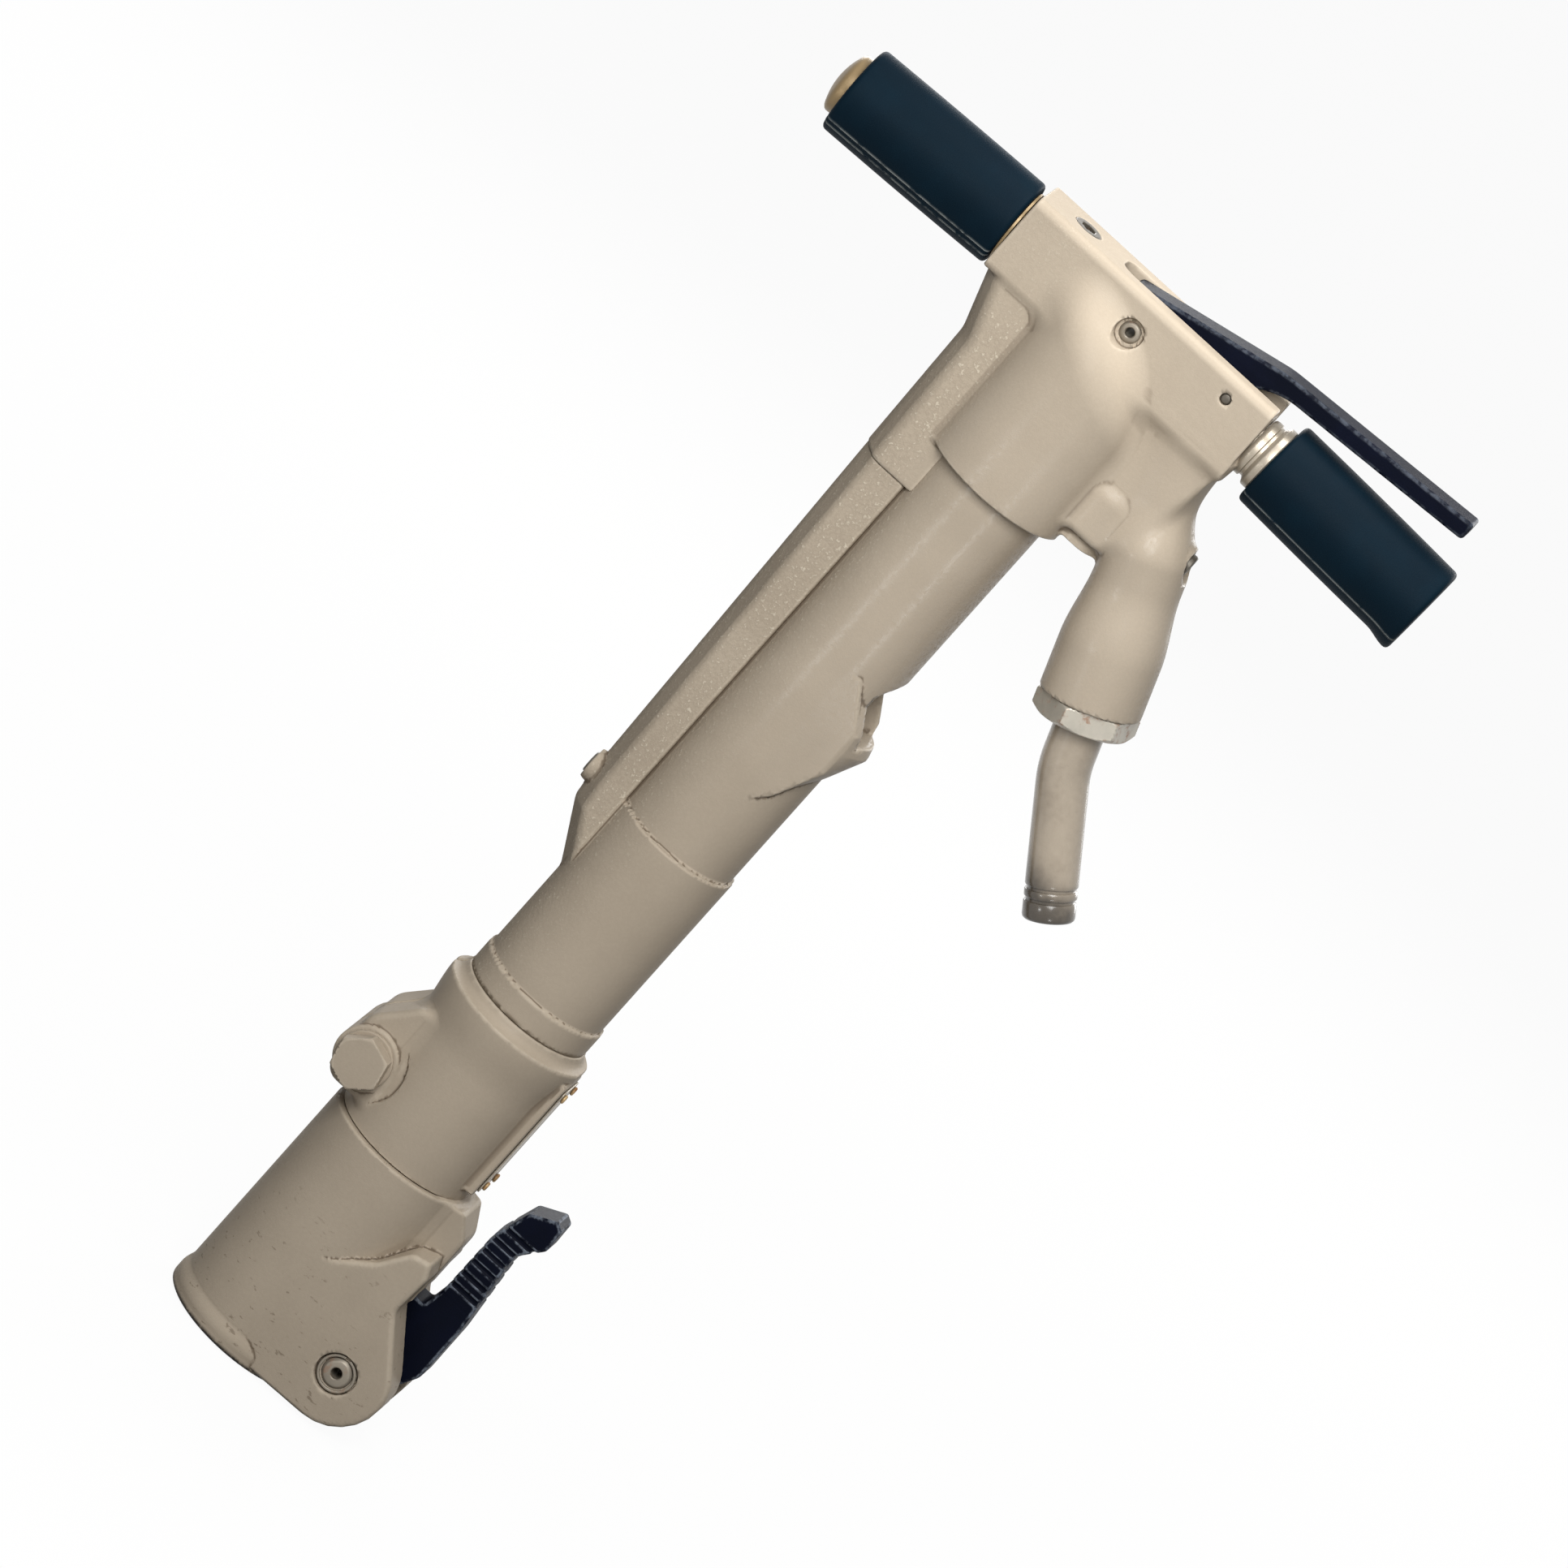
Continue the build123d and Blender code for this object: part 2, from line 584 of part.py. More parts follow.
with BuildPart() as latch_plunger:
    rod_z(PLUNGER_X, PLUNGER_R, PLUNGER_Z, PLUNGER_TOP_Z)
    chamfer(latch_plunger.edges().group_by(Axis.Z)[0], PLUNGER_R / 3)

latch_spring = coil_spring(
    PLUNGER_X,
    PLUNGER_TOP_Z,
    POCKET_TOP_Z,
    PLUNGER_R - LATCH_SPRING_WIRE,
    LATCH_SPRING_WIRE,
    LATCH_SPRING_TURNS,
)

# Clamp sleeve: split on the left, with ears for the cross bolt and a flat pad on the right
ear_foot_z = SEAM_Z + EAR_FOOT
ear_top_z = ear_foot_z + EAR_HEIGHT
spot_half = EAR_HALF + SPOT_PROUD
with BuildPart() as clamp_sleeve:
    rod_z(0, SLEEVE_R, SEAM_Z, SLEEVE_TOP_Z)
    rod_z(0, RIM_R, SLEEVE_TOP_Z - RIM_HEIGHT, SLEEVE_TOP_Z)
    fillet(clamp_sleeve.edges().filter_by(GeomType.CIRCLE).sort_by(SortBy.RADIUS)[-2:], RIM_FILLET / 2)
    with BuildSketch(Plane.XZ):
        with BuildLine():
            Polyline(
                (0, ear_foot_z),
                (-EAR_REACH, ear_foot_z),
                (-EAR_REACH, ear_top_z),
                (-EAR_REACH + EAR_SHOULDER, ear_top_z + EAR_SHOULDER),
                (0, ear_top_z + EAR_SHOULDER),
                close=True,
            )
        make_face()
    extrude(amount=EAR_HALF, both=True)
    rod_y(-BOLT_X, BOLT_Z, SPOT_R, -spot_half, spot_half)
    with Locations((PAD_REACH / 2, 0, PAD_TOP_Z - PAD_LENGTH / 2)):
        Box(PAD_REACH, 2 * PAD_HALF, PAD_LENGTH)
    with Locations((PAD_REACH + RIM_R / 2, 0, PAD_TOP_Z - PAD_LENGTH / 2)):
        Box(RIM_R, 2 * PAD_HALF, PAD_LENGTH, mode=Mode.SUBTRACT)
    rod_z(0, NECK_R + PRESS_GAP, SEAM_Z, SLEEVE_TOP_Z, Mode.SUBTRACT)
    with Locations((-EAR_REACH / 2 - SPOT_R / 2, 0, (SEAM_Z + SLEEVE_TOP_Z) / 2)):
        Box(EAR_REACH + SPOT_R, SPLIT_WIDTH, SLEEVE_LENGTH, mode=Mode.SUBTRACT)
    rod_y(-BOLT_X, BOLT_Z, BOLT_HOLE_R, -spot_half, spot_half, Mode.SUBTRACT)
    plate_low = PAD_TOP_Z - PAD_LENGTH + PLATE_MARGIN
    plate_high = PAD_TOP_Z - PLATE_MARGIN
    plate_half = PAD_HALF - PLATE_MARGIN
    screw_spots = [
        (y, z)
        for y in (-plate_half + SCREW_INSET, plate_half - SCREW_INSET)
        for z in (plate_low + SCREW_INSET, plate_high - SCREW_INSET)
    ]
    with BuildSketch(Plane.YZ.offset(PAD_REACH)):
        with Locations(screw_spots):
            Circle(SCREW_SHANK_R + PRESS_GAP)
    extrude(amount=-SCREW_SHANK_LENGTH - PRESS_GAP, mode=Mode.SUBTRACT)

with BuildPart() as nameplate:
    with BuildSketch(Plane.YZ.offset(PAD_REACH)):
        with Locations((0, (plate_low + plate_high) / 2)):
            RectangleRounded(2 * plate_half, plate_high - plate_low, SCREW_SHANK_R)
        with Locations(screw_spots):
            Circle(SCREW_SHANK_R + PRESS_GAP, mode=Mode.SUBTRACT)
    extrude(amount=PLATE_THICK)

with BuildPart() as nameplate_screws:
    with BuildSketch(Plane.YZ.offset(PAD_REACH - SCREW_SHANK_LENGTH)):
        with Locations(screw_spots):
            Circle(SCREW_SHANK_R)
    extrude(amount=SCREW_SHANK_LENGTH + PLATE_THICK)
    with BuildSketch(Plane.YZ.offset(PAD_REACH + PLATE_THICK)):
        with Locations(screw_spots):
            Circle(SCREW_HEAD_R)
    extrude(amount=SCREW_HEAD_RISE)
    fillet(nameplate_screws.edges().group_by(Axis.X)[-1], SCREW_HEAD_RISE - RUN_GAP)

# Cross bolt of the clamp, with its washers and nut
head_y = -spot_half - WASHER_THICK
nut_y = spot_half + WASHER_THICK
hex_corner_r = BOLT_AF / 2 / math.cos(math.pi / 6)
with BuildPart() as clamp_bolt:
    with BuildSketch(Plane.XZ.offset(-head_y)):
        with Locations((-BOLT_X, BOLT_Z)):
            RegularPolygon(BOLT_AF / 2, 6, major_radius=False)
    extrude(amount=BOLT_HEAD)
    with Locations((-BOLT_X, head_y - BOLT_HEAD / 2, BOLT_Z)):
        Cone(hex_corner_r + BOLT_HEAD / 3, BOLT_AF / 2, BOLT_HEAD, rotation=(90, 0, 0), mode=Mode.INTERSECT)
    rod_y(-BOLT_X, BOLT_Z, BOLT_R, head_y, nut_y + BOLT_NUT + BOLT_SPARE)
    chamfer(clamp_bolt.edges().group_by(Axis.Y)[-1], BOLT_R / 6)

with BuildPart() as clamp_nut:
    with BuildSketch(Plane.XZ.offset(-nut_y)):
        with Locations((-BOLT_X, BOLT_Z)):
            RegularPolygon(BOLT_AF / 2, 6, major_radius=False)
            Circle(BOLT_R + PRESS_GAP, mode=Mode.SUBTRACT)
    extrude(amount=-BOLT_NUT)

with BuildPart() as clamp_washers:
    for side in (-1, 1):
        ends = sorted((side * spot_half, side * (spot_half + WASHER_THICK)))
        rod_y(-BOLT_X, BOLT_Z, WASHER_R, *ends)
    rod_y(-BOLT_X, BOLT_Z, BOLT_R + PRESS_GAP, head_y, nut_y, Mode.SUBTRACT)

# Cylinder: bored for the piston, with the air duct on its left and the exhaust hood on its right
exhaust_low = EXHAUST_Z - EXHAUST_HEIGHT / 2
exhaust_high = EXHAUST_Z + EXHAUST_HEIGHT / 2
with BuildPart() as cylinder:
    with BuildSketch(Plane.XZ):
        with BuildLine():
            Polyline(
                (0, SPIGOT_Z),
                (NECK_R, SPIGOT_Z),
                (NECK_R, SLEEVE_TOP_Z),
                (COLLAR_R, SLEEVE_TOP_Z),
                (COLLAR_R, SLEEVE_TOP_Z + COLLAR_HEIGHT),
                (LOWER_R, SLEEVE_TOP_Z + COLLAR_HEIGHT + COLLAR_R - LOWER_R),
                (LOWER_R, LOWER_TOP_Z - (LOWER_R - UPPER_R)),
                (UPPER_R, LOWER_TOP_Z),
                (UPPER_R, CYLINDER_TOP_Z),
                (0, CYLINDER_TOP_Z),
                close=True,
            )
        make_face()
    revolve(axis=Axis.Z)
    with BuildSketch(Plane.XZ):
        with BuildLine():
            Polyline(
                (0, DUCT_FOOT_Z - DUCT_RAMP),
                (-UPPER_R, DUCT_FOOT_Z - DUCT_RAMP),
                (-DUCT_FOOT_REACH, DUCT_FOOT_Z),
                (-DUCT_TOP_REACH, HOOD_Z),
                (0, HOOD_Z),
                close=True,
            )
        make_face()
    extrude(amount=DUCT_HALF, both=True)
    duct_edges = [
        edge
        for edge in cylinder.edges().filter_by(GeomType.LINE)
        if edge.center().X < -UPPER_R and abs(abs(edge.center().Y) - DUCT_HALF) < PRESS_GAP
    ]
    outer_edges = [edge for edge in duct_edges if abs((edge % 0).Z) > abs((edge % 0).X)]
    fillet(outer_edges, DUCT_CORNER)
    with BuildSketch(Plane.XZ):
        with BuildLine():
            Polyline(
                (0, exhaust_low - EXHAUST_RAMP),
                (UPPER_R - EXHAUST_BROW / 4, exhaust_low - EXHAUST_RAMP),
                (EXHAUST_REACH, exhaust_low),
                (EXHAUST_REACH, exhaust_high - EXHAUST_BROW),
                (UPPER_R - EXHAUST_BROW / 4, exhaust_high + EXHAUST_BROW),
                (0, exhaust_high + EXHAUST_BROW),
                close=True,
            )
        make_face()
    extrude(amount=EXHAUST_HALF, both=True)
    rod_z(0, GUIDE_R + PRESS_GAP, SPIGOT_Z, GUIDE_TOP_Z, Mode.SUBTRACT)
    rod_z(0, BORE_R, GUIDE_TOP_Z, CYLINDER_TOP_Z, Mode.SUBTRACT)
    with Locations((EXHAUST_REACH / 2 + BORE_R / 2, 0, EXHAUST_Z)):
        Box(EXHAUST_REACH, 2 * EXHAUST_SLOT_HALF, EXHAUST_SLOT_HEIGHT, mode=Mode.SUBTRACT)
    rod_z(-DUCT_PASSAGE_X, DUCT_PASSAGE_R, DUCT_PLUG_Z - DUCT_PASSAGE_R, HOOD_Z, Mode.SUBTRACT)
    rod_x(DUCT_PLUG_Z, DUCT_PORT_R, -DUCT_PASSAGE_X, 0, Mode.SUBTRACT)
    duct_lean = (DUCT_TOP_REACH - DUCT_FOOT_REACH) / (HOOD_Z - DUCT_FOOT_Z)
    duct_face_x = DUCT_FOOT_REACH + duct_lean * DUCT_PLUG_RISE
    plug_foot_x = duct_face_x - DUCT_PLUG_LENGTH
    rod_x(DUCT_PLUG_Z, DUCT_PLUG_R + PRESS_GAP, -duct_face_x - DUCT_PLUG_LENGTH, -plug_foot_x, Mode.SUBTRACT)

with BuildPart() as duct_plug:
    rod_x(DUCT_PLUG_Z, DUCT_PLUG_R, -duct_face_x - DUCT_PLUG_PROUD, -plug_foot_x)
    chamfer(duct_plug.edges().group_by(Axis.X)[0], DUCT_PLUG_R / 6)
    with BuildSketch(Plane.YZ.offset(-duct_face_x - DUCT_PLUG_PROUD)):
        with Locations((0, DUCT_PLUG_Z)):
            RegularPolygon(PLUG_SOCKET_AF / 2, 6, major_radius=False)
    extrude(amount=PLUG_SOCKET_DEPTH, mode=Mode.SUBTRACT)

# Tappet under the piston, its bushing, and the guide that stops tappet and piston
bushing_seat_z = TAPPET_HEAD_Z - SEAT_GAP
with BuildPart() as tappet_bushing:
    rod_z(0, GUIDE_R, SPIGOT_Z, GUIDE_FOOT_Z)
    rod_z(0, BUSHING_ROOM_R, SPIGOT_Z, bushing_seat_z, Mode.SUBTRACT)
    rod_z(0, TAPPET_HEAD_R + RUN_GAP, bushing_seat_z, GUIDE_FOOT_Z, Mode.SUBTRACT)

with BuildPart() as piston_guide:
    rod_z(0, GUIDE_R, GUIDE_FOOT_Z, GUIDE_TOP_Z)
    rod_z(0, TAPPET_STEM_R + RUN_GAP, GUIDE_FOOT_Z, GUIDE_TOP_Z, Mode.SUBTRACT)

with BuildPart() as tappet:
    rod_z(0, TAPPET_NOSE_R, TAPPET_Z, TAPPET_HEAD_Z)
    rod_z(0, TAPPET_HEAD_R, TAPPET_HEAD_Z, TAPPET_STEM_Z)
    rod_z(0, TAPPET_STEM_R, TAPPET_STEM_Z, STRIKE_Z - TAPPET_TRAVEL)
    chamfer(tappet.edges().group_by(Axis.Z)[0], TAPPET_EDGE)
    chamfer(tappet.edges().group_by(Axis.Z)[-1], TAPPET_EDGE)

piston_r = BORE_R - RUN_GAP
piston_top_z = PISTON_HEAD_Z + PISTON_LENGTH
with BuildPart() as piston:
    rod_z(0, TAPPET_STEM_R, PISTON_Z, PISTON_HEAD_Z)
    rod_z(0, piston_r, PISTON_HEAD_Z, piston_top_z)
    chamfer(piston.edges().group_by(Axis.Z)[0], TAPPET_EDGE)
    chamfer(piston.edges().group_by(Axis.Z)[-1], TAPPET_EDGE)
    for share in (0.25, 0.75):
        groove_z = PISTON_HEAD_Z + share * PISTON_LENGTH
        with BuildSketch(Plane.XY.offset(groove_z)):
            Circle(piston_r)
            Circle(piston_r - PISTON_GROOVE_DEPTH, mode=Mode.SUBTRACT)
        extrude(amount=PISTON_GROOVE_WIDTH, mode=Mode.SUBTRACT)

# Valve set clamped between the cylinder's top and the backhead's ceiling
valve_set_r = UPPER_R


def valve_plate(low, high, hole_r):
    """Round plate of the valve set with a middle hole and the dowel hole."""
    with BuildPart() as plate:
        rod_z(0, valve_set_r, low, high)
        rod_z(0, hole_r, low, high, Mode.SUBTRACT)
        rod_z(VALVE_DOWEL_X, VALVE_DOWEL_R + PRESS_GAP, low, high, Mode.SUBTRACT)
    return plate


valve_gasket = valve_plate(CYLINDER_TOP_Z, VALVE_SEAT_Z, BORE_R + VALVE_RIM)
valve_seat = valve_plate(VALVE_SEAT_Z, VALVE_CHEST_Z, VALVE_PORT_R)
valve_chest = valve_plate(VALVE_CHEST_Z, VALVE_CAP_Z, VALVE_CHEST_R)
with BuildPart() as valve_cap:
    rod_z(0, valve_set_r, VALVE_CAP_Z, VALVE_CAP_Z + VALVE_RIM / 2)
    rod_z(0, valve_set_r - VALVE_RIM, VALVE_CAP_Z, CEILING_Z)
    rod_z(0, VALVE_PORT_R, VALVE_CAP_Z, CEILING_Z, Mode.SUBTRACT)
    rod_z(VALVE_DOWEL_X, VALVE_DOWEL_R + PRESS_GAP, VALVE_CAP_Z, CEILING_Z, Mode.SUBTRACT)

with BuildPart() as valve_dowel:
    rod_z(VALVE_DOWEL_X, VALVE_DOWEL_R, VALVE_SEAT_Z, VALVE_CAP_Z + VALVE_RIM / 2)

disc_z = VALVE_CHEST_Z + SEAT_GAP
disc_thick = VALVE_CHEST_HEIGHT - VALVE_TRAVEL - 2 * SEAT_GAP
with BuildPart() as valve_disc:
    rod_z(0, VALVE_CHEST_R - RUN_GAP, disc_z, disc_z + disc_thick)
    rod_z(0, VALVE_PORT_R - VALVE_RIM, disc_z, disc_z + disc_thick, Mode.SUBTRACT)

# Backhead: barrel over the cylinder, T-body, duct hood and inlet leg in one casting
slot_right = T_RIGHT + T_FILLET
flange_room = NUT_SPIGOT_LENGTH + SEAL_THICK + FLANGE_THICK + 2 * FREE_GAP
inlet_plug_plane = Plane(origin=(INLET_PLUG_SEAT_X, 0, INLET_PLUG_Z), x_dir=(0, 1, 0), z_dir=(1, 0, 0))
leg_neck_run = LEG_FLARE_LENGTH + LEG_TAPER_LENGTH
leg_root_run = leg_neck_run + LEG_NECK_LENGTH
with BuildPart() as backhead:
    with Locations(((T_RIGHT - T_LEFT) / 2, 0, (T_FOOT_Z + T_TOP_Z) / 2)):
        Box(T_LEFT + T_RIGHT, 2 * T_HALF, T_HEIGHT)
    fillet(backhead.edges().filter_by(Axis.X), T_FILLET)
    rod_z(0, BARREL_R, SKIRT_Z, T_FOOT_Z + T_FILLET)
    with BuildSketch(Plane.XZ):
        with BuildLine():
            Polyline(
                (0, HOOD_Z),
                (-HOOD_FOOT_REACH, HOOD_Z),
                (-HOOD_FOOT_REACH, T_FOOT_Z - HOOD_SHOULDER_DROP),
                (-T_LEFT, T_FOOT_Z),
                (-T_LEFT, T_FOOT_Z + T_FILLET),
                (0, T_FOOT_Z + T_FILLET),
                close=True,
            )
        make_face()
    extrude(amount=HOOD_HALF, both=True)
    hood_edges = [
        edge
        for edge in backhead.edges().filter_by(Axis.Z)
        if abs(edge.center().X + HOOD_FOOT_REACH) < PRESS_GAP
    ]
    fillet(hood_edges, HOOD_CORNER)
    rod_z(THROTTLE_X, VALVE_BOSS_R, VALVE_BOSS_Z, T_FOOT_Z + T_FILLET)
    with BuildSketch(LEG_SECTION):
        with BuildLine():
            Polyline(
                (0, 0),
                (LEG_END_R - LEG_MOUTH_FILLET, 0),
                (LEG_END_R, LEG_MOUTH_FILLET),
                (LEG_END_R, LEG_FLARE_LENGTH),
                (LEG_NECK_R, leg_neck_run),
                (LEG_NECK_R, leg_root_run),
                (LEG_ROOT_R, leg_root_run + LEG_ROOT_TAPER),
                (LEG_ROOT_R, LEG_LENGTH),
                (0, LEG_LENGTH),
                close=True,
            )
        make_face()
    revolve(axis=LEG_AXIS)
    with BuildSketch(inlet_plug_plane):
        Circle(INLET_PLUG_SPOT_R)
    extrude(amount=-LEG_BORE_R)
    with BuildSketch(inlet_plug_plane):
        Circle(INLET_PLUG_SPOT_R)
    extrude(amount=LEG_BORE_R, mode=Mode.SUBTRACT)
    with BuildSketch(Plane.XZ):
        with BuildLine():
            Polyline(
                (0, VALVE_BOSS_Z + VALVE_BOSS_FOOT),
                (THROTTLE_X + VALVE_BOSS_R, VALVE_BOSS_Z + VALVE_BOSS_FOOT),
                (T_RIGHT - VALVE_BOSS_FOOT, T_FOOT_Z + T_FILLET),
                (0, T_FOOT_Z + T_FILLET),
                close=True,
            )
        make_face()
    extrude(amount=WEB_HALF, both=True)
    # Barrel bore and air passages
    rod_z(0, UPPER_R + PRESS_GAP, HOOD_Z, CEILING_Z, Mode.SUBTRACT)
    rod_z(-DUCT_PASSAGE_X, DUCT_PASSAGE_R, HOOD_Z, CEILING_Z, Mode.SUBTRACT)
    rod_x(CEILING_Z - PORT_DROP, THROTTLE_PORT_R, -DUCT_PASSAGE_X, THROTTLE_X, Mode.SUBTRACT)
    # Throttle chamber, gallery and stem guide
    seat_top_z = THROTTLE_SEAT_Z + THROTTLE_SEAT_THICK
    rod_z(THROTTLE_X, THROTTLE_CHAMBER_R, VALVE_BOSS_Z, seat_top_z, Mode.SUBTRACT)
    rod_z(THROTTLE_X, THROTTLE_SEAT_R, seat_top_z, seat_top_z + THROTTLE_GALLERY, Mode.SUBTRACT)
    rod_z(THROTTLE_X, THROTTLE_STEM_R + RUN_GAP, seat_top_z, SLOT_FLOOR_Z, Mode.SUBTRACT)
    # Lever slot with a shallow saddle out to the right end
    with Locations(((SLOT_RIGHT - SLOT_LEFT) / 2, 0, T_TOP_Z - SLOT_DEPTH / 2)):
        Box(SLOT_LEFT + SLOT_RIGHT, 2 * LEVER_SLOT_HALF, SLOT_DEPTH, mode=Mode.SUBTRACT)
    with Locations((slot_right / 2, 0, T_TOP_Z - SLOT_SADDLE_DEPTH / 2)):
        Box(slot_right, 2 * LEVER_SLOT_HALF, SLOT_SADDLE_DEPTH, mode=Mode.SUBTRACT)
    rod_y(LEVER_PIN_X, LEVER_PIN_Z, LEVER_PIN_R + PRESS_GAP, -T_HALF, T_HALF, Mode.SUBTRACT)
    for side in (-1, 1):
        ends = sorted((side * T_HALF, side * (T_HALF - LEVER_PIN_RECESS)))
        rod_y(LEVER_PIN_X, LEVER_PIN_Z, LEVER_PIN_RECESS_R, *ends, Mode.SUBTRACT)
    rod_y(STOP_PIN_X, STOP_PIN_Z, STOP_PIN_R + PRESS_GAP, -T_HALF, T_HALF, Mode.SUBTRACT)
    rod_z(OIL_PLUG_X, OIL_PLUG_R + PRESS_GAP, T_TOP_Z - OIL_PLUG_DEPTH, T_TOP_Z, Mode.SUBTRACT)
    # Inlet bore, its counterbores, and the port to the throttle chamber with the hole for its plug
    with BuildSketch(leg_plane(0)):
        Circle(LEG_BORE_R)
    extrude(amount=-LEG_BORE_LENGTH, mode=Mode.SUBTRACT)
    with BuildSketch(leg_plane(0)):
        Circle(FLANGE_R + FREE_GAP)
    extrude(amount=-flange_room, mode=Mode.SUBTRACT)
    with BuildSketch(leg_plane(0)):
        Circle(NUT_SPIGOT_R + PRESS_GAP)
    extrude(amount=-NUT_SPIGOT_LENGTH, mode=Mode.SUBTRACT)
    rod_x(INLET_PLUG_Z, INLET_PORT_R, THROTTLE_X, INLET_PLUG_SEAT_X, Mode.SUBTRACT)
    with BuildSketch(inlet_plug_plane):
        Circle(INLET_PLUG_R + PRESS_GAP)
    extrude(amount=-INLET_PLUG_LENGTH, mode=Mode.SUBTRACT)
    # Sockets for the handle bars
    with BuildSketch(arm_plane(-1, T_LEFT - LEFT_SPIGOT)):
        Circle(BAR_SPIGOT_R + PRESS_GAP)
    extrude(amount=2 * LEFT_SPIGOT, mode=Mode.SUBTRACT)
    with BuildSketch(arm_plane(1, T_RIGHT - RIGHT_SPIGOT)):
        Circle(BAR_SPIGOT_R + PRESS_GAP)
    extrude(amount=2 * RIGHT_SPIGOT, mode=Mode.SUBTRACT)

# Throttle lever over the right grip, with a foot on the valve's stem
lever_tip_z = T_TOP_Z - LEVER_TIP_DROP
knee_top_z = T_TOP_Z + LEVER_KNEE_RISE
end_top_z = T_TOP_Z + LEVER_END_RISE
knee_low_z = knee_top_z - LEVER_KNEE_THICK
foot_right = THROTTLE_X + LEVER_FOOT_HALF
belly_drop = (STOP_PIN_X - LEVER_PIN_X) * math.sin(math.radians(LEVER_SWING))
belly_z = STOP_PIN_Z + STOP_PIN_R + FREE_GAP + belly_drop
with BuildPart() as throttle_lever:
    with BuildSketch(Plane.XZ):
        with BuildLine():
            Polyline(
                (LEVER_TIP_X, lever_tip_z),
                (LEVER_KNEE_X, knee_top_z),
                (LEVER_REACH, end_top_z),
                (LEVER_REACH, end_top_z - LEVER_END_THICK),
                (LEVER_KNEE_X, knee_low_z),
                (STOP_PIN_X + STOP_PIN_R, belly_z),
                (foot_right, belly_z),
                (foot_right, LEVER_FOOT_Z),
                (THROTTLE_X - LEVER_FOOT_HALF, LEVER_FOOT_Z),
                (LEVER_PIN_X, LEVER_PIN_Z),
                (LEVER_PIN_X - LEVER_HUB_R, LEVER_PIN_Z + LEVER_HUB_R),
                close=True,
            )
        make_face()
        with Locations((LEVER_PIN_X, LEVER_PIN_Z)):
            Circle(LEVER_HUB_R)
    extrude(amount=LEVER_WIDTH / 2, both=True)
    rod_y(LEVER_PIN_X, LEVER_PIN_Z, LEVER_PIN_R + RUN_GAP, -LEVER_WIDTH, LEVER_WIDTH, Mode.SUBTRACT)

lever_pin_half = T_HALF - LEVER_PIN_RECESS
with BuildPart() as lever_pin:
    rod_y(LEVER_PIN_X, LEVER_PIN_Z, LEVER_PIN_R, -lever_pin_half, lever_pin_half)
    chamfer(lever_pin.edges().filter_by(GeomType.CIRCLE), LEVER_PIN_R / 8)
    rod_y(LEVER_PIN_X, LEVER_PIN_Z, LEVER_PIN_BORE_R, -T_HALF, T_HALF, Mode.SUBTRACT)

with BuildPart() as lever_stop_pin:
    rod_y(STOP_PIN_X, STOP_PIN_Z, STOP_PIN_R, -lever_pin_half, lever_pin_half)
    chamfer(lever_stop_pin.edges().filter_by(GeomType.CIRCLE), STOP_PIN_R / 6)

# Throttle valve: stem up to the lever, head under its seat, spring and screwed cap below
with BuildPart() as throttle_valve:
    rod_z(THROTTLE_X, THROTTLE_STEM_R, THROTTLE_HEAD_Z, LEVER_FOOT_Z - FREE_GAP)
    rod_z(THROTTLE_X, THROTTLE_HEAD_R, THROTTLE_HEAD_Z, THROTTLE_HEAD_Z + THROTTLE_HEAD_THICK)
    chamfer(throttle_valve.edges().group_by(Axis.Z)[-1], THROTTLE_STEM_R / 4)

with BuildPart() as throttle_seat:
    rod_z(THROTTLE_X, THROTTLE_CHAMBER_R - PRESS_GAP, THROTTLE_SEAT_Z, seat_top_z)
    rod_z(THROTTLE_X, THROTTLE_SEAT_R, THROTTLE_SEAT_Z, seat_top_z, Mode.SUBTRACT)

cap_top_z = VALVE_BOSS_Z + THROTTLE_CAP_THICK
with BuildPart() as throttle_cap:
    rod_z(THROTTLE_X, THROTTLE_CHAMBER_R - PRESS_GAP, VALVE_BOSS_Z, cap_top_z)
    chamfer(throttle_cap.edges().group_by(Axis.Z)[0], THROTTLE_CAP_THICK / 9)
    with BuildSketch(Plane.XY.offset(VALVE_BOSS_Z)):
        with Locations((THROTTLE_X, 0)):
            RegularPolygon(PLUG_SOCKET_AF / 2, 6, major_radius=False)
    extrude(amount=PLUG_SOCKET_DEPTH, mode=Mode.SUBTRACT)

throttle_spring = coil_spring(
    THROTTLE_X,
    cap_top_z,
    THROTTLE_HEAD_Z,
    THROTTLE_HEAD_R - THROTTLE_SPRING_WIRE,
    THROTTLE_SPRING_WIRE,
    THROTTLE_SPRING_TURNS,
)

# Oil plugs
with BuildPart() as oil_plug:
    rod_z(OIL_PLUG_X, OIL_PLUG_R, T_TOP_Z - OIL_PLUG_DEPTH, T_TOP_Z - SEAT_GAP)
    chamfer(oil_plug.edges().group_by(Axis.Z)[-1], OIL_PLUG_R / 8)
    with BuildSketch(Plane.XY.offset(T_TOP_Z - SEAT_GAP)):
        with Locations((OIL_PLUG_X, 0)):
            RegularPolygon(PLUG_SOCKET_AF / 2, 6, major_radius=False)
    extrude(amount=-PLUG_SOCKET_DEPTH, mode=Mode.SUBTRACT)

with BuildPart() as inlet_oil_plug:
    with BuildSketch(inlet_plug_plane.offset(-INLET_PLUG_LENGTH)):
        Circle(INLET_PLUG_R)
    extrude(amount=INLET_PLUG_LENGTH + INLET_PLUG_PROUD)
    with BuildSketch(inlet_plug_plane.offset(INLET_PLUG_PROUD)):
        RegularPolygon(PLUG_SOCKET_AF / 2, 6, major_radius=False)
    extrude(amount=-PLUG_SOCKET_DEPTH, mode=Mode.SUBTRACT)

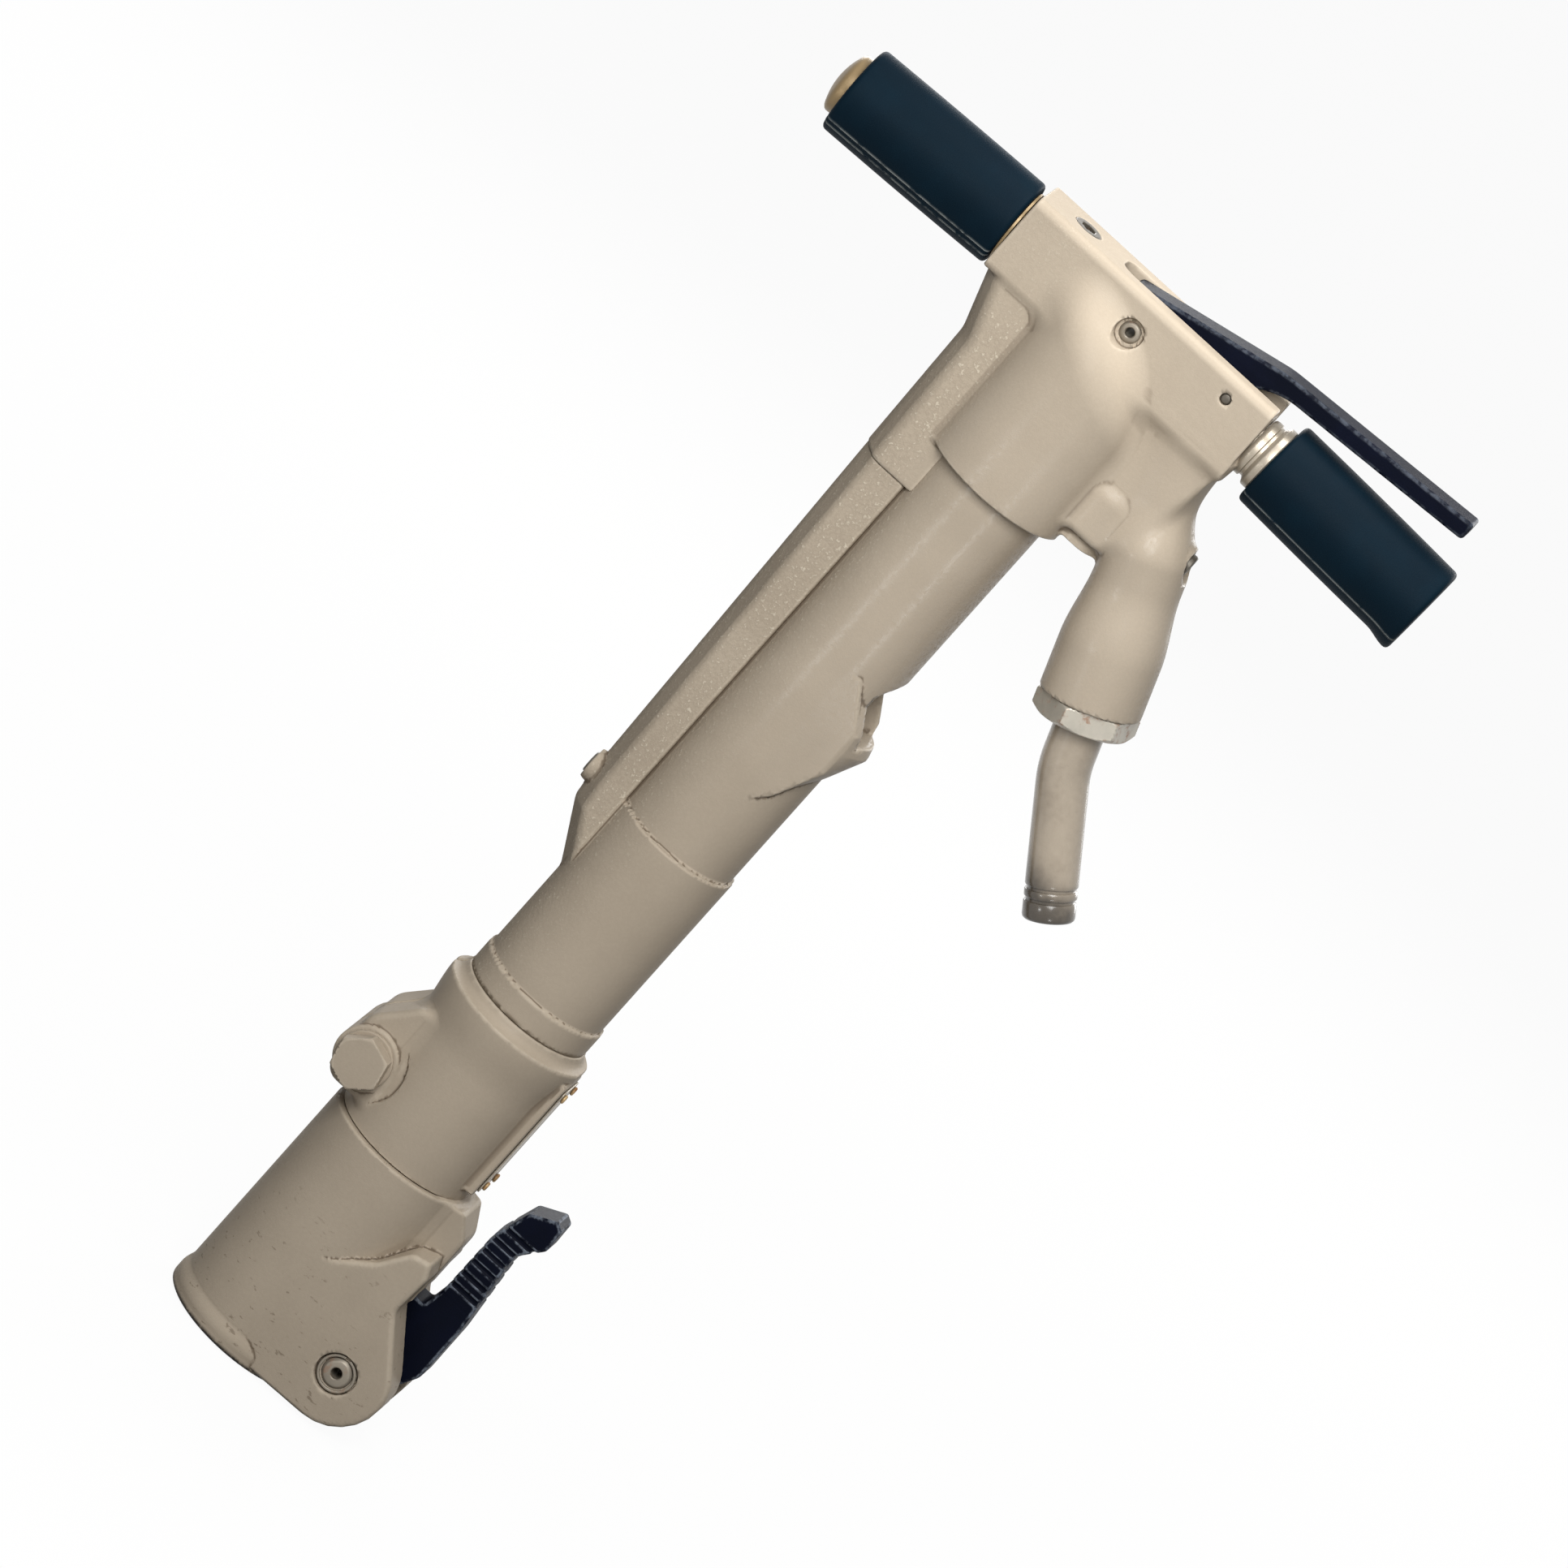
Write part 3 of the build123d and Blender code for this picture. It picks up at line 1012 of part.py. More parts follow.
# Inlet nut, screwed into the leg over the swivel tube
nut_corner_r = NUT_AF / 2 / math.cos(math.pi / 6)
with BuildPart() as inlet_nut:
    with BuildSketch(leg_plane(0)):
        RegularPolygon(NUT_AF / 2, 6, major_radius=False, rotation=NUT_TURN)
    extrude(amount=NUT_THICK)
    with BuildSketch(LEG_SECTION):
        with BuildLine():
            Polyline(
                (0, 0),
                (nut_corner_r, 0),
                (nut_corner_r, NUT_CHAMFER / 2 - NUT_THICK),
                (nut_corner_r - NUT_CHAMFER, -NUT_THICK),
                (0, -NUT_THICK),
                close=True,
            )
        make_face()
    revolve(axis=LEG_AXIS, mode=Mode.INTERSECT)
    with BuildSketch(leg_plane(0)):
        Circle(NUT_SPIGOT_R)
    extrude(amount=-NUT_SPIGOT_LENGTH)
    with BuildSketch(leg_plane(NUT_THICK)):
        Circle(TUBE_R + FREE_GAP)
    extrude(amount=-NUT_THICK - NUT_SPIGOT_LENGTH, mode=Mode.SUBTRACT)

with BuildPart() as swivel_seal:
    with BuildSketch(leg_plane(-NUT_SPIGOT_LENGTH)):
        Circle(FLANGE_R + FREE_GAP)
        Circle(TUBE_R + FREE_GAP, mode=Mode.SUBTRACT)
    extrude(amount=-SEAL_THICK)

# Swivel tube: a flange held behind the nut, a bend, and grooves near its end
flange_foot = -NUT_SPIGOT_LENGTH - SEAL_THICK - FREE_GAP
flange_top = flange_foot - FLANGE_THICK
bend_turn = math.radians(TUBE_BEND)
tail_turn = math.radians(LEG_TILT + TUBE_BEND)
tail_along = Vector(math.sin(tail_turn), 0, -math.cos(tail_turn))
bend_end = LEG_SECTION.from_local_coords(
    Vector(TUBE_BEND_R * (1 - math.cos(bend_turn)), -TUBE_STRAIGHT - TUBE_BEND_R * math.sin(bend_turn), 0)
)
tail_plane = Plane(origin=bend_end + tail_along * TUBE_TAIL, x_dir=(0, 1, 0), z_dir=tail_along)
with BuildPart() as swivel_tube:
    with BuildLine(LEG_SECTION) as tube_route:
        Line((0, -flange_top), (0, -TUBE_STRAIGHT))
        JernArc((0, -TUBE_STRAIGHT), (0, -1), TUBE_BEND_R, TUBE_BEND)
        PolarLine(tube_route.line @ 1, TUBE_TAIL, TUBE_BEND - 90)
    with BuildSketch(leg_plane(flange_top)):
        Circle(TUBE_R)
        Circle(TUBE_R - TUBE_WALL, mode=Mode.SUBTRACT)
    sweep(path=tube_route.line)
    with BuildSketch(leg_plane(flange_foot)):
        Circle(FLANGE_R)
        Circle(TUBE_R - RUN_GAP, mode=Mode.SUBTRACT)
    extrude(amount=-FLANGE_THICK)
    for groove in range(TUBE_GROOVE_COUNT):
        groove_foot = TUBE_GROOVE_GAP + groove * (TUBE_GROOVE_GAP + TUBE_GROOVE_WIDTH)
        with BuildSketch(tail_plane.offset(-groove_foot)):
            Circle(TUBE_R + TUBE_GROOVE_DEPTH)
            Circle(TUBE_R - TUBE_GROOVE_DEPTH, mode=Mode.SUBTRACT)
        extrude(amount=-TUBE_GROOVE_WIDTH, mode=Mode.SUBTRACT)

# Strainer cup in the inlet bore
strainer_foot = -flange_room - FREE_GAP
strainer_r = LEG_BORE_R - PRESS_GAP
with BuildPart() as inlet_strainer:
    with BuildSketch(leg_plane(strainer_foot)):
        Circle(strainer_r)
    extrude(amount=-STRAINER_LENGTH)
    with BuildSketch(leg_plane(strainer_foot)):
        Circle(strainer_r - STRAINER_WALL)
    extrude(amount=-STRAINER_LENGTH + STRAINER_WALL, mode=Mode.SUBTRACT)
    with BuildSketch(leg_plane(strainer_foot - STRAINER_LENGTH / 4)):
        with PolarLocations(strainer_r, STRAINER_SLOT_COUNT):
            Rectangle(4 * STRAINER_WALL, STRAINER_SLOT)
    extrude(amount=-STRAINER_LENGTH / 2, mode=Mode.SUBTRACT)

# Handle bars, each pressed into the T-body, and their rubber grips
left_grip_end = LEFT_GRIP_START + LEFT_GRIP_LENGTH
with BuildPart() as left_handle_bar:
    with BuildSketch(arm_plane(-1, T_LEFT - LEFT_SPIGOT)):
        Circle(BAR_SPIGOT_R)
    extrude(amount=LEFT_SPIGOT + LEFT_GRIP_START - T_LEFT)
    with BuildSketch(arm_plane(-1, LEFT_GRIP_START)):
        Circle(BAR_R)
    extrude(amount=LEFT_GRIP_LENGTH)
    with BuildSketch(arm_plane(-1, left_grip_end)):
        Circle(LEFT_CAP_R)
    extrude(amount=LEFT_CAP_LENGTH)
    fillet(left_handle_bar.edges().sort_by(Axis.X)[0], LEFT_CAP_LENGTH - RUN_GAP)

with BuildPart() as left_grip:
    with BuildSketch(arm_plane(-1, LEFT_GRIP_START)):
        Circle(GRIP_R)
    extrude(amount=LEFT_GRIP_LENGTH)
    fillet(left_grip.edges().filter_by(GeomType.CIRCLE), GRIP_EDGE)
    with BuildSketch(arm_plane(-1, LEFT_GRIP_START)):
        Circle(BAR_R + PRESS_GAP)
    extrude(amount=LEFT_GRIP_LENGTH, mode=Mode.SUBTRACT)

right_bar_end = RIGHT_GRIP_LENGTH - RIGHT_GRIP_END_WALL
with BuildPart() as right_handle_bar:
    with BuildSketch(arm_plane(1, T_RIGHT - RIGHT_SPIGOT)):
        Circle(BAR_SPIGOT_R)
    extrude(amount=RIGHT_SPIGOT + NECK_START)
    with BuildSketch(arm_plane(1, T_RIGHT + NECK_START)):
        Circle(RIGHT_NECK_R)
    extrude(amount=RIGHT_GRIP_START - T_RIGHT - NECK_START)
    with BuildSketch(arm_plane(1, RIGHT_GRIP_START - NECK_RING_LENGTH)):
        Circle(NECK_RING_R)
    extrude(amount=NECK_RING_LENGTH)
    with BuildSketch(arm_plane(1, RIGHT_GRIP_START)):
        Circle(BAR_R)
    extrude(amount=right_bar_end)

with BuildPart() as right_grip:
    with BuildSketch(arm_plane(1, RIGHT_GRIP_START)):
        Circle(GRIP_R)
    extrude(amount=RIGHT_GRIP_LENGTH)
    with BuildSketch(arm_plane(1, RIGHT_GRIP_START + RIGHT_GRIP_LENGTH - GRIP_LIP_LENGTH)):
        Circle(GRIP_LIP_R)
    extrude(amount=GRIP_LIP_LENGTH)
    rim_edges = right_grip.edges().filter_by(GeomType.CIRCLE).sort_by(Axis.X)
    fillet([rim_edges[0], rim_edges[-1]], GRIP_EDGE)
    with BuildSketch(arm_plane(1, RIGHT_GRIP_START)):
        Circle(BAR_R + PRESS_GAP)
    extrude(amount=right_bar_end, mode=Mode.SUBTRACT)

pieces = {
    "fronthead": fronthead,
    "chisel_bushing": chisel_bushing,
    "front_buffer": front_buffer,
    "latch": latch,
    "latch_pin": latch_pin,
    "latch_pin_rings": latch_pin_rings,
    "latch_plunger": latch_plunger,
    "latch_spring": latch_spring,
    "clamp_sleeve": clamp_sleeve,
    "nameplate": nameplate,
    "nameplate_screws": nameplate_screws,
    "clamp_bolt": clamp_bolt,
    "clamp_nut": clamp_nut,
    "clamp_washers": clamp_washers,
    "cylinder": cylinder,
    "duct_plug": duct_plug,
    "tappet_bushing": tappet_bushing,
    "piston_guide": piston_guide,
    "tappet": tappet,
    "piston": piston,
    "valve_gasket": valve_gasket,
    "valve_seat": valve_seat,
    "valve_chest": valve_chest,
    "valve_cap": valve_cap,
    "valve_dowel": valve_dowel,
    "valve_disc": valve_disc,
    "backhead": backhead,
    "throttle_lever": throttle_lever,
    "lever_pin": lever_pin,
    "lever_stop_pin": lever_stop_pin,
    "throttle_valve": throttle_valve,
    "throttle_seat": throttle_seat,
    "throttle_cap": throttle_cap,
    "throttle_spring": throttle_spring,
    "oil_plug": oil_plug,
    "inlet_oil_plug": inlet_oil_plug,
    "inlet_nut": inlet_nut,
    "swivel_seal": swivel_seal,
    "swivel_tube": swivel_tube,
    "inlet_strainer": inlet_strainer,
    "left_handle_bar": left_handle_bar,
    "left_grip": left_grip,
    "right_handle_bar": right_handle_bar,
    "right_grip": right_grip,
}
for label, piece in pieces.items():
    piece.part.label = label
    export_step(piece.part, f"parts/{label}.step")
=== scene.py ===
"""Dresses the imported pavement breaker: cast and painted bodies, rubber grips, fasteners, finishes and the studio."""
import json
import math

import bmesh
import bpy
import numpy as np
from mathutils import Matrix, Vector


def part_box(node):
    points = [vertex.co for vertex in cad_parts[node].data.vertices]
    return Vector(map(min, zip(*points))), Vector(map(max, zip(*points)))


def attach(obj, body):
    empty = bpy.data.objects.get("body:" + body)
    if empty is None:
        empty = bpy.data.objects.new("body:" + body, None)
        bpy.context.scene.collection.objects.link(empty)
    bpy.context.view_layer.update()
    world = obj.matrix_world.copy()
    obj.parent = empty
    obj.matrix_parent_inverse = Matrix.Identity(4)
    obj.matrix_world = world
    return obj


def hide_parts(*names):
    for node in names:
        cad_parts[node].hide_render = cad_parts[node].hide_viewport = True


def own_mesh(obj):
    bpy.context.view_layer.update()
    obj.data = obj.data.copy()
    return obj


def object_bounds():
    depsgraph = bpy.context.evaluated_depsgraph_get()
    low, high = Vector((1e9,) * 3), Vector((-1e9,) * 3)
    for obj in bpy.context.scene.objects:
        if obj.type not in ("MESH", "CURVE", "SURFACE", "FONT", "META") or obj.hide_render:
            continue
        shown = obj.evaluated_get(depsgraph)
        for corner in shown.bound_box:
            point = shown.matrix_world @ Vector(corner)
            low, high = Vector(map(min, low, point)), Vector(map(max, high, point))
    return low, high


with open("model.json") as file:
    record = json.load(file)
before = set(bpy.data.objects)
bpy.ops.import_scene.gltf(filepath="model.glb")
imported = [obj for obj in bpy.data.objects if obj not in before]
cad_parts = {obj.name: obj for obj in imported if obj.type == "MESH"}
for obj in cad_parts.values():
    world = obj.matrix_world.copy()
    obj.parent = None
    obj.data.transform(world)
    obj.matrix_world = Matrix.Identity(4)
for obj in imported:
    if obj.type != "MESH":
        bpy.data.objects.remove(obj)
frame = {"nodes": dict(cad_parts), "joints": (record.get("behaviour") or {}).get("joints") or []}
CAD_BOX = [list(corner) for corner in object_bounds()]

bl_info = {
    "name": "Pavement breaker",
    "version": (1, 0, 0),
    "blender": (4, 5, 0),
    "location": "View3D > Sidebar > Breaker",
    "description": "Builds the outside of a pneumatic pavement breaker over its packed solids",
    "category": "Object",
}

# Places read from the frame, in millimetres

MM = 0.001
SPAN = {name: tuple(np.array(corner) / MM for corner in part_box(name)) for name in frame["nodes"]}
JOINTS = {joint["name"]: joint for joint in frame["joints"]}
ALONG_X, ALONG_Y, ALONG_Z = np.eye(3)


def low(node, axis):
    """Lowest place of a CAD node along X, Y or Z."""
    return SPAN[node][0]["xyz".index(axis)]


def high(node, axis):
    """Highest place of a CAD node along X, Y or Z."""
    return SPAN[node][1]["xyz".index(axis)]


def mid(node, axis):
    """Middle of a CAD node along X, Y or Z."""
    return (low(node, axis) + high(node, axis)) / 2


def joint_place(name):
    """Place of a joint."""
    return np.array(JOINTS[name]["pos_m"]) / MM


SEAM_Z = low("clamp_sleeve", "z")
SLEEVE_TOP = high("clamp_sleeve", "z")
NECK_TOP = high("fronthead", "z")
CYLINDER_LOW, CYLINDER_TOP = low("cylinder", "z"), high("cylinder", "z")
T_LEFT, T_RIGHT = low("backhead", "x"), 81.0
T_FLOOR, T_TOP = 672.0, high("backhead", "z")
T_HALF = 22.0
BARREL_R, BARREL_LOW = high("backhead", "y"), 589.0
HOOD_SEAM = 562.0
BORE_TOP = 659.0
DUCT_X, DUCT_R = -45.0, 6.0
NUT_TURN, HEX_TURN = math.radians(16.6), math.radians(19)
LATCH_PIN = joint_place("latch_swing")
LEVER_PIN = joint_place("lever_pivot")
INLET = joint_place("inlet_swivel")
LEG_DOWN = np.array(JOINTS["inlet_swivel"]["axis"])
LEG_SIDE = np.array((-LEG_DOWN[2], 0.0, LEG_DOWN[0]))
THROTTLE_X = mid("throttle_cap", "x")
BOLT_X, BOLT_Z = mid("clamp_washers", "x"), mid("clamp_washers", "z")
BOLT_R, BOLT_PITCH, BOLT_FLATS = 8.0, 2.0, 26.0
SCREWS = [(y, z) for y in (-10, 10) for z in (147, 208)]
ARM_HUB = np.array((0.0, 0.0, 695.9))
ARM_DROOP = math.radians(2.25)
LEFT_ARM = np.array((-math.cos(ARM_DROOP), 0.0, -math.sin(ARM_DROOP)))
RIGHT_ARM = np.array((math.cos(ARM_DROOP), 0.0, -math.sin(ARM_DROOP)))
ARM_R = 14.0
SLIDE_ROOM = 0.3
THROUGH = 100.0
SIDES = (("front", -1), ("back", 1))


# Settings

def tone(red, green, blue):
    """Linear colour of a screen colour that is given from 0 to 255."""
    shares = (channel / 255 for channel in (red, green, blue))
    return tuple(s / 12.92 if s <= 0.04045 else ((s + 0.055) / 1.055) ** 2.4 for s in shares)


def measure(name, description, default, unit="LENGTH"):
    """A number with a unit as a setting."""
    return bpy.props.FloatProperty(name=name, description=description, default=default, unit=unit)


def colour(name, description, *screen):
    """A screen colour as a setting."""
    return bpy.props.FloatVectorProperty(name=name, description=description, default=tone(*screen), subtype="COLOR")


class BreakerCasting(bpy.types.PropertyGroup):
    """Sizes of the cast bodies."""
    mesh_step: measure("Mesh step", "Size of a face on the castings", 0.0015)
    fine_step: measure("Fine step", "Size of a face on the small pieces", 0.0007)
    shoulder_round: measure("Barrel shoulder", "Rounding of the barrel's top under the T", 0.028)
    leg_fillet: measure("Leg fillet", "Fillet between the inlet leg and its web", 0.008)
    lug_fillet: measure("Lug fillet", "Fillet between the nose and the lug over the latch", 0.003)
    rim_cove: measure("Rim cove", "Hollow round the clamp sleeve's top", 0.0063)
    edge_round: measure("Cast edge", "Rounding of the castings' outer edges", 0.0025)


class BreakerGrip(bpy.types.PropertyGroup):
    """Sizes of the rubber grips."""
    radius: measure("Radius", "Outer radius of both grips", 0.0245)
    lip: measure("Lip", "How far the right grip's end lip hangs below the grip", 0.002)
    flash: measure("Mould flash", "Height of the moulding line along a grip", 0.0006)


class BreakerFinish(bpy.types.PropertyGroup):
    """Colours of the finishes."""
    paint: colour("Paint", "Tan paint of the castings", 179, 166, 148)
    # Also the painted highlight laid along outer edges of the castings, besides worn paint and pale casting flecks.
    pale_paint_and_highlight: colour("Rubbed paint", "Paint where edges are rubbed", 222, 212, 192)
    # Also the painted shade laid in valleys and creases, besides real oil and dust.
    grime_and_shade_colour: colour("Grime", "Oil and dust in the valleys", 88, 72, 55)
    rubber: colour("Grip rubber", "Blue-black rubber of the grips", 5, 21, 31)
    rubber_flash: colour("Rubber flash", "Dusty moulding lines", 120, 124, 122)
    dark_steel: colour("Dark steel", "Lever and latch", 4, 7, 19)
    # Also the painted highlight laid along edges and ribs of the lever and latch, besides worn steel.
    dark_wear_and_highlight: colour("Rubbed dark steel", "Edges of lever and latch", 120, 128, 140)
    zinc: colour("Zinc", "Bright plating of the inlet nut", 214, 207, 192)
    rust: colour("Rust", "Rust specks", 142, 84, 40)
    brass: colour("Brass", "Domed end of the left handle", 176, 150, 108)
    steel: colour("Steel", "Bare turned steel", 168, 158, 142)


class BreakerStage(bpy.types.PropertyGroup):
    """Camera, light and floor."""
    distance: measure("Distance", "Camera's distance from its aim", 8.0)
    azimuth: measure("Azimuth", "Camera's turn round the breaker", math.radians(2.58), "ROTATION")
    elevation: measure("Elevation", "Camera's height angle", math.radians(16.74), "ROTATION")
    roll: measure("Roll", "Camera's lean", math.radians(41.78), "ROTATION")
    aim: bpy.props.FloatVectorProperty(
        name="Aim", description="Point in the middle of the picture", subtype="XYZ", default=(0.02097, 0.0, 0.40266))
    picture: measure("Picture", "Width of the picture at the aim", 0.7743)
    front_power: measure("Front light", "Power of the soft light in front", 22.8, "POWER")
    strip_power: measure("Strip light", "Power of the small lights on both sides", 2.6, "POWER")
    top_power: measure("Top light", "Power of the light over the handle", 3.0, "POWER")
    back_power: measure("Back lights", "Power of each soft light behind", 14.0, "POWER")
    fill: measure("Fill", "Strength of the light from all round", 0.07, "NONE")
    floor: colour("Floor", "Pale floor", 240, 239, 236)


SETTINGS = {
    "breaker_casting": BreakerCasting,
    "breaker_grip": BreakerGrip,
    "breaker_finish": BreakerFinish,
    "breaker_stage": BreakerStage,
}


# Solid forms as distance fields, in millimetres: below zero inside

def round_max(first, second, radius):
    """Larger of two distances, with the edge between them rounded."""
    if radius <= 0:
        return np.maximum(first, second)
    corner = np.hypot(np.maximum(first + radius, 0), np.maximum(second + radius, 0))
    return np.minimum(np.maximum(first, second), -radius) + corner


class Form:
    """A solid as a field of distances over points of shape (3, count)."""

    def __init__(self, field):
        self.field = field

    def __call__(self, points):
        return self.field(points)

    def __neg__(self):
        return Form(lambda p: -self(p))

    def within(self, edge, *others):
        """What this solid and others share, with a rounded edge."""
        def field(p):
            value = self(p)
            for other in others:
                value = round_max(value, other(p), edge)
            return value
        return Form(field)

    def cut(self, edge, *others):
        """This solid less others, with a rounded edge."""
        return self.within(edge, *(-other for other in others))

    def join(self, fillet, *others):
        """This solid and others, with a fillet where they meet."""
        return -(-self).cut(fillet, *others)

    def drilled(self, *holes):
        """This solid less rows of solids, each row led by the rounding of its edges."""
        form = self
        for edge, *others in holes:
            form = form.cut(edge, *others)
        return form

    def slopes(self, points, reach=0.08):
        """Outward unit vectors at points of shape (count, 3)."""
        total = np.zeros(points.shape)
        for lean in ((1, -1, -1), (-1, -1, 1), (-1, 1, -1), (1, 1, 1)):
            lean = np.array(lean, float)
            total += self((points + reach * lean).T)[:, None] * lean
        return total / np.maximum(np.linalg.norm(total, axis=1, keepdims=True), 1e-12)

    def bend(self, points, reach=1.1):
        """How far the surface bends: above zero on outer edges, below zero in valleys."""
        total = -6 * self(points.T)
        for axis in np.eye(3):
            total += self((points + reach * axis).T) + self((points - reach * axis).T)
        return total / reach ** 2


def ramp(values, start, end):
    """Smooth rise from 0 at start to 1 at end."""
    share = np.clip((values - start) / (end - start), 0, 1)
    return share * share * (3 - 2 * share)


def beyond(values, start, end):
    """How far values lie outside a range, below zero inside it."""
    return np.abs(values - (start + end) / 2) - (end - start) / 2


def along_of(points, direction):
    """How far points lie along a direction."""
    return (points * np.array(direction, float)[:, None]).sum(axis=0)


def round_axis(points, origin, along):
    """How far points lie along an axis, and how far from it."""
    out = points - np.array(origin, float)[:, None]
    run = along_of(out, along)
    return run, np.linalg.norm(out - run * np.array(along, float)[:, None], axis=0)


def past_sides(inset, edge):
    """Distance from a box with rounded edges, by how far points lie past its sides."""
    inset = inset + edge
    return np.linalg.norm(np.maximum(inset, 0), axis=0) + np.minimum(inset.max(axis=0), 0) - edge


def post(x, radius, bottom, top, low_edge=0.0, high_edge=0.0):
    """Upright round bar with rounded ends."""
    def field(p):
        around = np.hypot(p[0] - x, p[1]) - radius
        return round_max(round_max(around, p[2] - top, high_edge), bottom - p[2], low_edge)
    return Form(field)


def bar(origin, along, radius, start, end, edge=0.0):
    """Round bar along any direction, from start to end along it."""
    def field(p):
        run, around = round_axis(p, origin, along)
        return round_max(around - radius, beyond(run, start, end), edge)
    return Form(field)


def cross_bar(x, z, radius, start=-THROUGH, end=THROUGH, edge=0.0):
    """Round bar along Y, right through where no ends are given."""
    return bar((x, 0, z), ALONG_Y, radius, start, end, edge)


def both_sides(x, z, radius, start):
    """Two round bars along Y, from a distance on either side of the middle outwards."""
    return [cross_bar(x, z, radius, *sorted((side * start, side * THROUGH))) for side in (-1, 1)]


def block(corner, far, edge=0.0):
    """Box between two corners with rounded edges."""
    corner, far = np.array((corner, far), float)[:, :, None]
    return Form(lambda p: past_sides(beyond(p, corner, far), edge))


def pocket(left, right, half, corner, bottom, top):
    """Upright slot with rounded corners in plan."""
    def field(p):
        sides = np.stack((beyond(p[0], left, right), np.abs(p[1]) - half))
        return np.maximum(past_sides(sides, corner), beyond(p[2], bottom, top))
    return Form(field)


def eased(corners, parts=6):
    """Closed outline in which each (x, z, radius) corner is an arc."""
    outline = []
    count = len(corners)
    for i, (x, z, radius) in enumerate(corners):
        here = np.array((x, z), float)
        if radius <= 0:
            outline.append(here)
            continue
        back = np.array(corners[i - 1][:2], float) - here
        ahead = np.array(corners[(i + 1) % count][:2], float) - here
        back /= np.linalg.norm(back)
        ahead /= np.linalg.norm(ahead)
        half = math.acos(float(np.clip(back @ ahead, -1, 1))) / 2
        centre = here + (back + ahead) / np.linalg.norm(back + ahead) * radius / math.sin(half)
        first = here + back * radius / math.tan(half) - centre
        last = here + ahead * radius / math.tan(half) - centre
        sweep = math.atan2(first[0] * last[1] - first[1] * last[0], first @ last)
        for part in range(parts + 1):
            c, s = math.cos(sweep * part / parts), math.sin(sweep * part / parts)
            outline.append(centre + (c * first[0] - s * first[1], s * first[0] + c * first[1]))
    return np.array(outline)


def outline_distance(outline, x, z):
    """Signed distance to a closed outline."""
    nearest = np.full(x.shape, np.inf)
    inside = np.zeros(x.shape, bool)
    for (ax, az), (bx, bz) in zip(outline, np.roll(outline, -1, axis=0)):
        ex, ez = bx - ax, bz - az
        px, pz = x - ax, z - az
        share = np.clip((px * ex + pz * ez) / (ex * ex + ez * ez), 0, 1)
        nearest = np.minimum(nearest, (px - share * ex) ** 2 + (pz - share * ez) ** 2)
        lean = px * ez - pz * ex
        inside ^= ((az > z) != (bz > z)) & ((lean < 0) if ez > 0 else (lean > 0))
    return np.where(inside, -1, 1) * np.sqrt(nearest)


def slab(corners, half, edge=0.0, parts=6):
    """Plate with an XZ outline, as far to both sides in Y, with rounded rims."""
    outline = eased(corners, parts)
    return Form(lambda p: round_max(outline_distance(outline, p[0], p[2]), np.abs(p[1]) - half, edge))


def column(corners, bottom, top, edge=0.0):
    """Upright bar with an XY outline, with rounded ends."""
    outline = eased(corners)
    return Form(lambda p: round_max(outline_distance(outline, p[0], p[1]), beyond(p[2], bottom, top), edge))


def half_space(point, outward):
    """All that lies behind a plane."""
    outward = np.array(outward, float) / np.linalg.norm(outward)
    return Form(lambda p: along_of(p - np.array(point, float)[:, None], outward))


def hexagon(origin, along, side, width, start, end):
    """Hexagon bar: its width across flats, one flat facing side."""
    other = np.cross(along, side)

    def field(p):
        out = p - np.array(origin, float)[:, None]
        u, v = np.abs(along_of(out, side)), np.abs(along_of(out, other))
        flat = np.maximum(u, 0.5 * u + math.sin(math.pi / 3) * v) - width / 2
        return np.maximum(flat, beyond(along_of(out, along), start, end))
    return Form(field)


def cone(origin, along, radius, slope):
    """Cone round a direction: its radius at the origin, and how much it grows along it."""
    def field(p):
        run, around = round_axis(p, origin, along)
        return (around - radius - slope * run) / math.hypot(1, slope)
    return Form(field)


# Meshes

BLOCK = 6
BLOCKS_AT_ONCE = 1500
NEAR_SHARE = 1.3
MARGIN_CELLS = 1.5
HOLD = 0.08
CELL_ROOM = 0.47
STRIDE = 0.4
STRIDES = 2
NORMAL_INSET = 0.3
EDGE_GAIN = 2.2
RING_FACES = ((0, 0), (1, 0), (1, 1), (0, 1))


def sampled(form, corner, counts, step):
    """Field over a grid, worked out only in blocks near the surface."""
    blocks = np.stack(np.meshgrid(*[np.arange(n) for n in counts], indexing="ij"), -1).reshape(-1, 3)
    rough = form((corner + (blocks + 0.5) * BLOCK * step).T)
    reach = 0.5 * math.sqrt(3) * BLOCK * step * NEAR_SHARE
    values = np.repeat(rough[:, None], BLOCK ** 3, axis=1)
    near = np.flatnonzero(np.abs(rough) < reach)
    inner = np.stack(np.meshgrid(*[np.arange(BLOCK)] * 3, indexing="ij"), -1).reshape(-1, 3)
    for part in np.array_split(near, max(1, len(near) // BLOCKS_AT_ONCE)):
        points = corner + (blocks[part][:, None, :] * BLOCK + inner) * step
        values[part] = form(points.reshape(-1, 3).T).reshape(len(part), -1)
    grid = values.reshape(*counts, BLOCK, BLOCK, BLOCK).transpose(0, 3, 1, 4, 2, 5)
    return grid.reshape(*[n * BLOCK for n in counts])


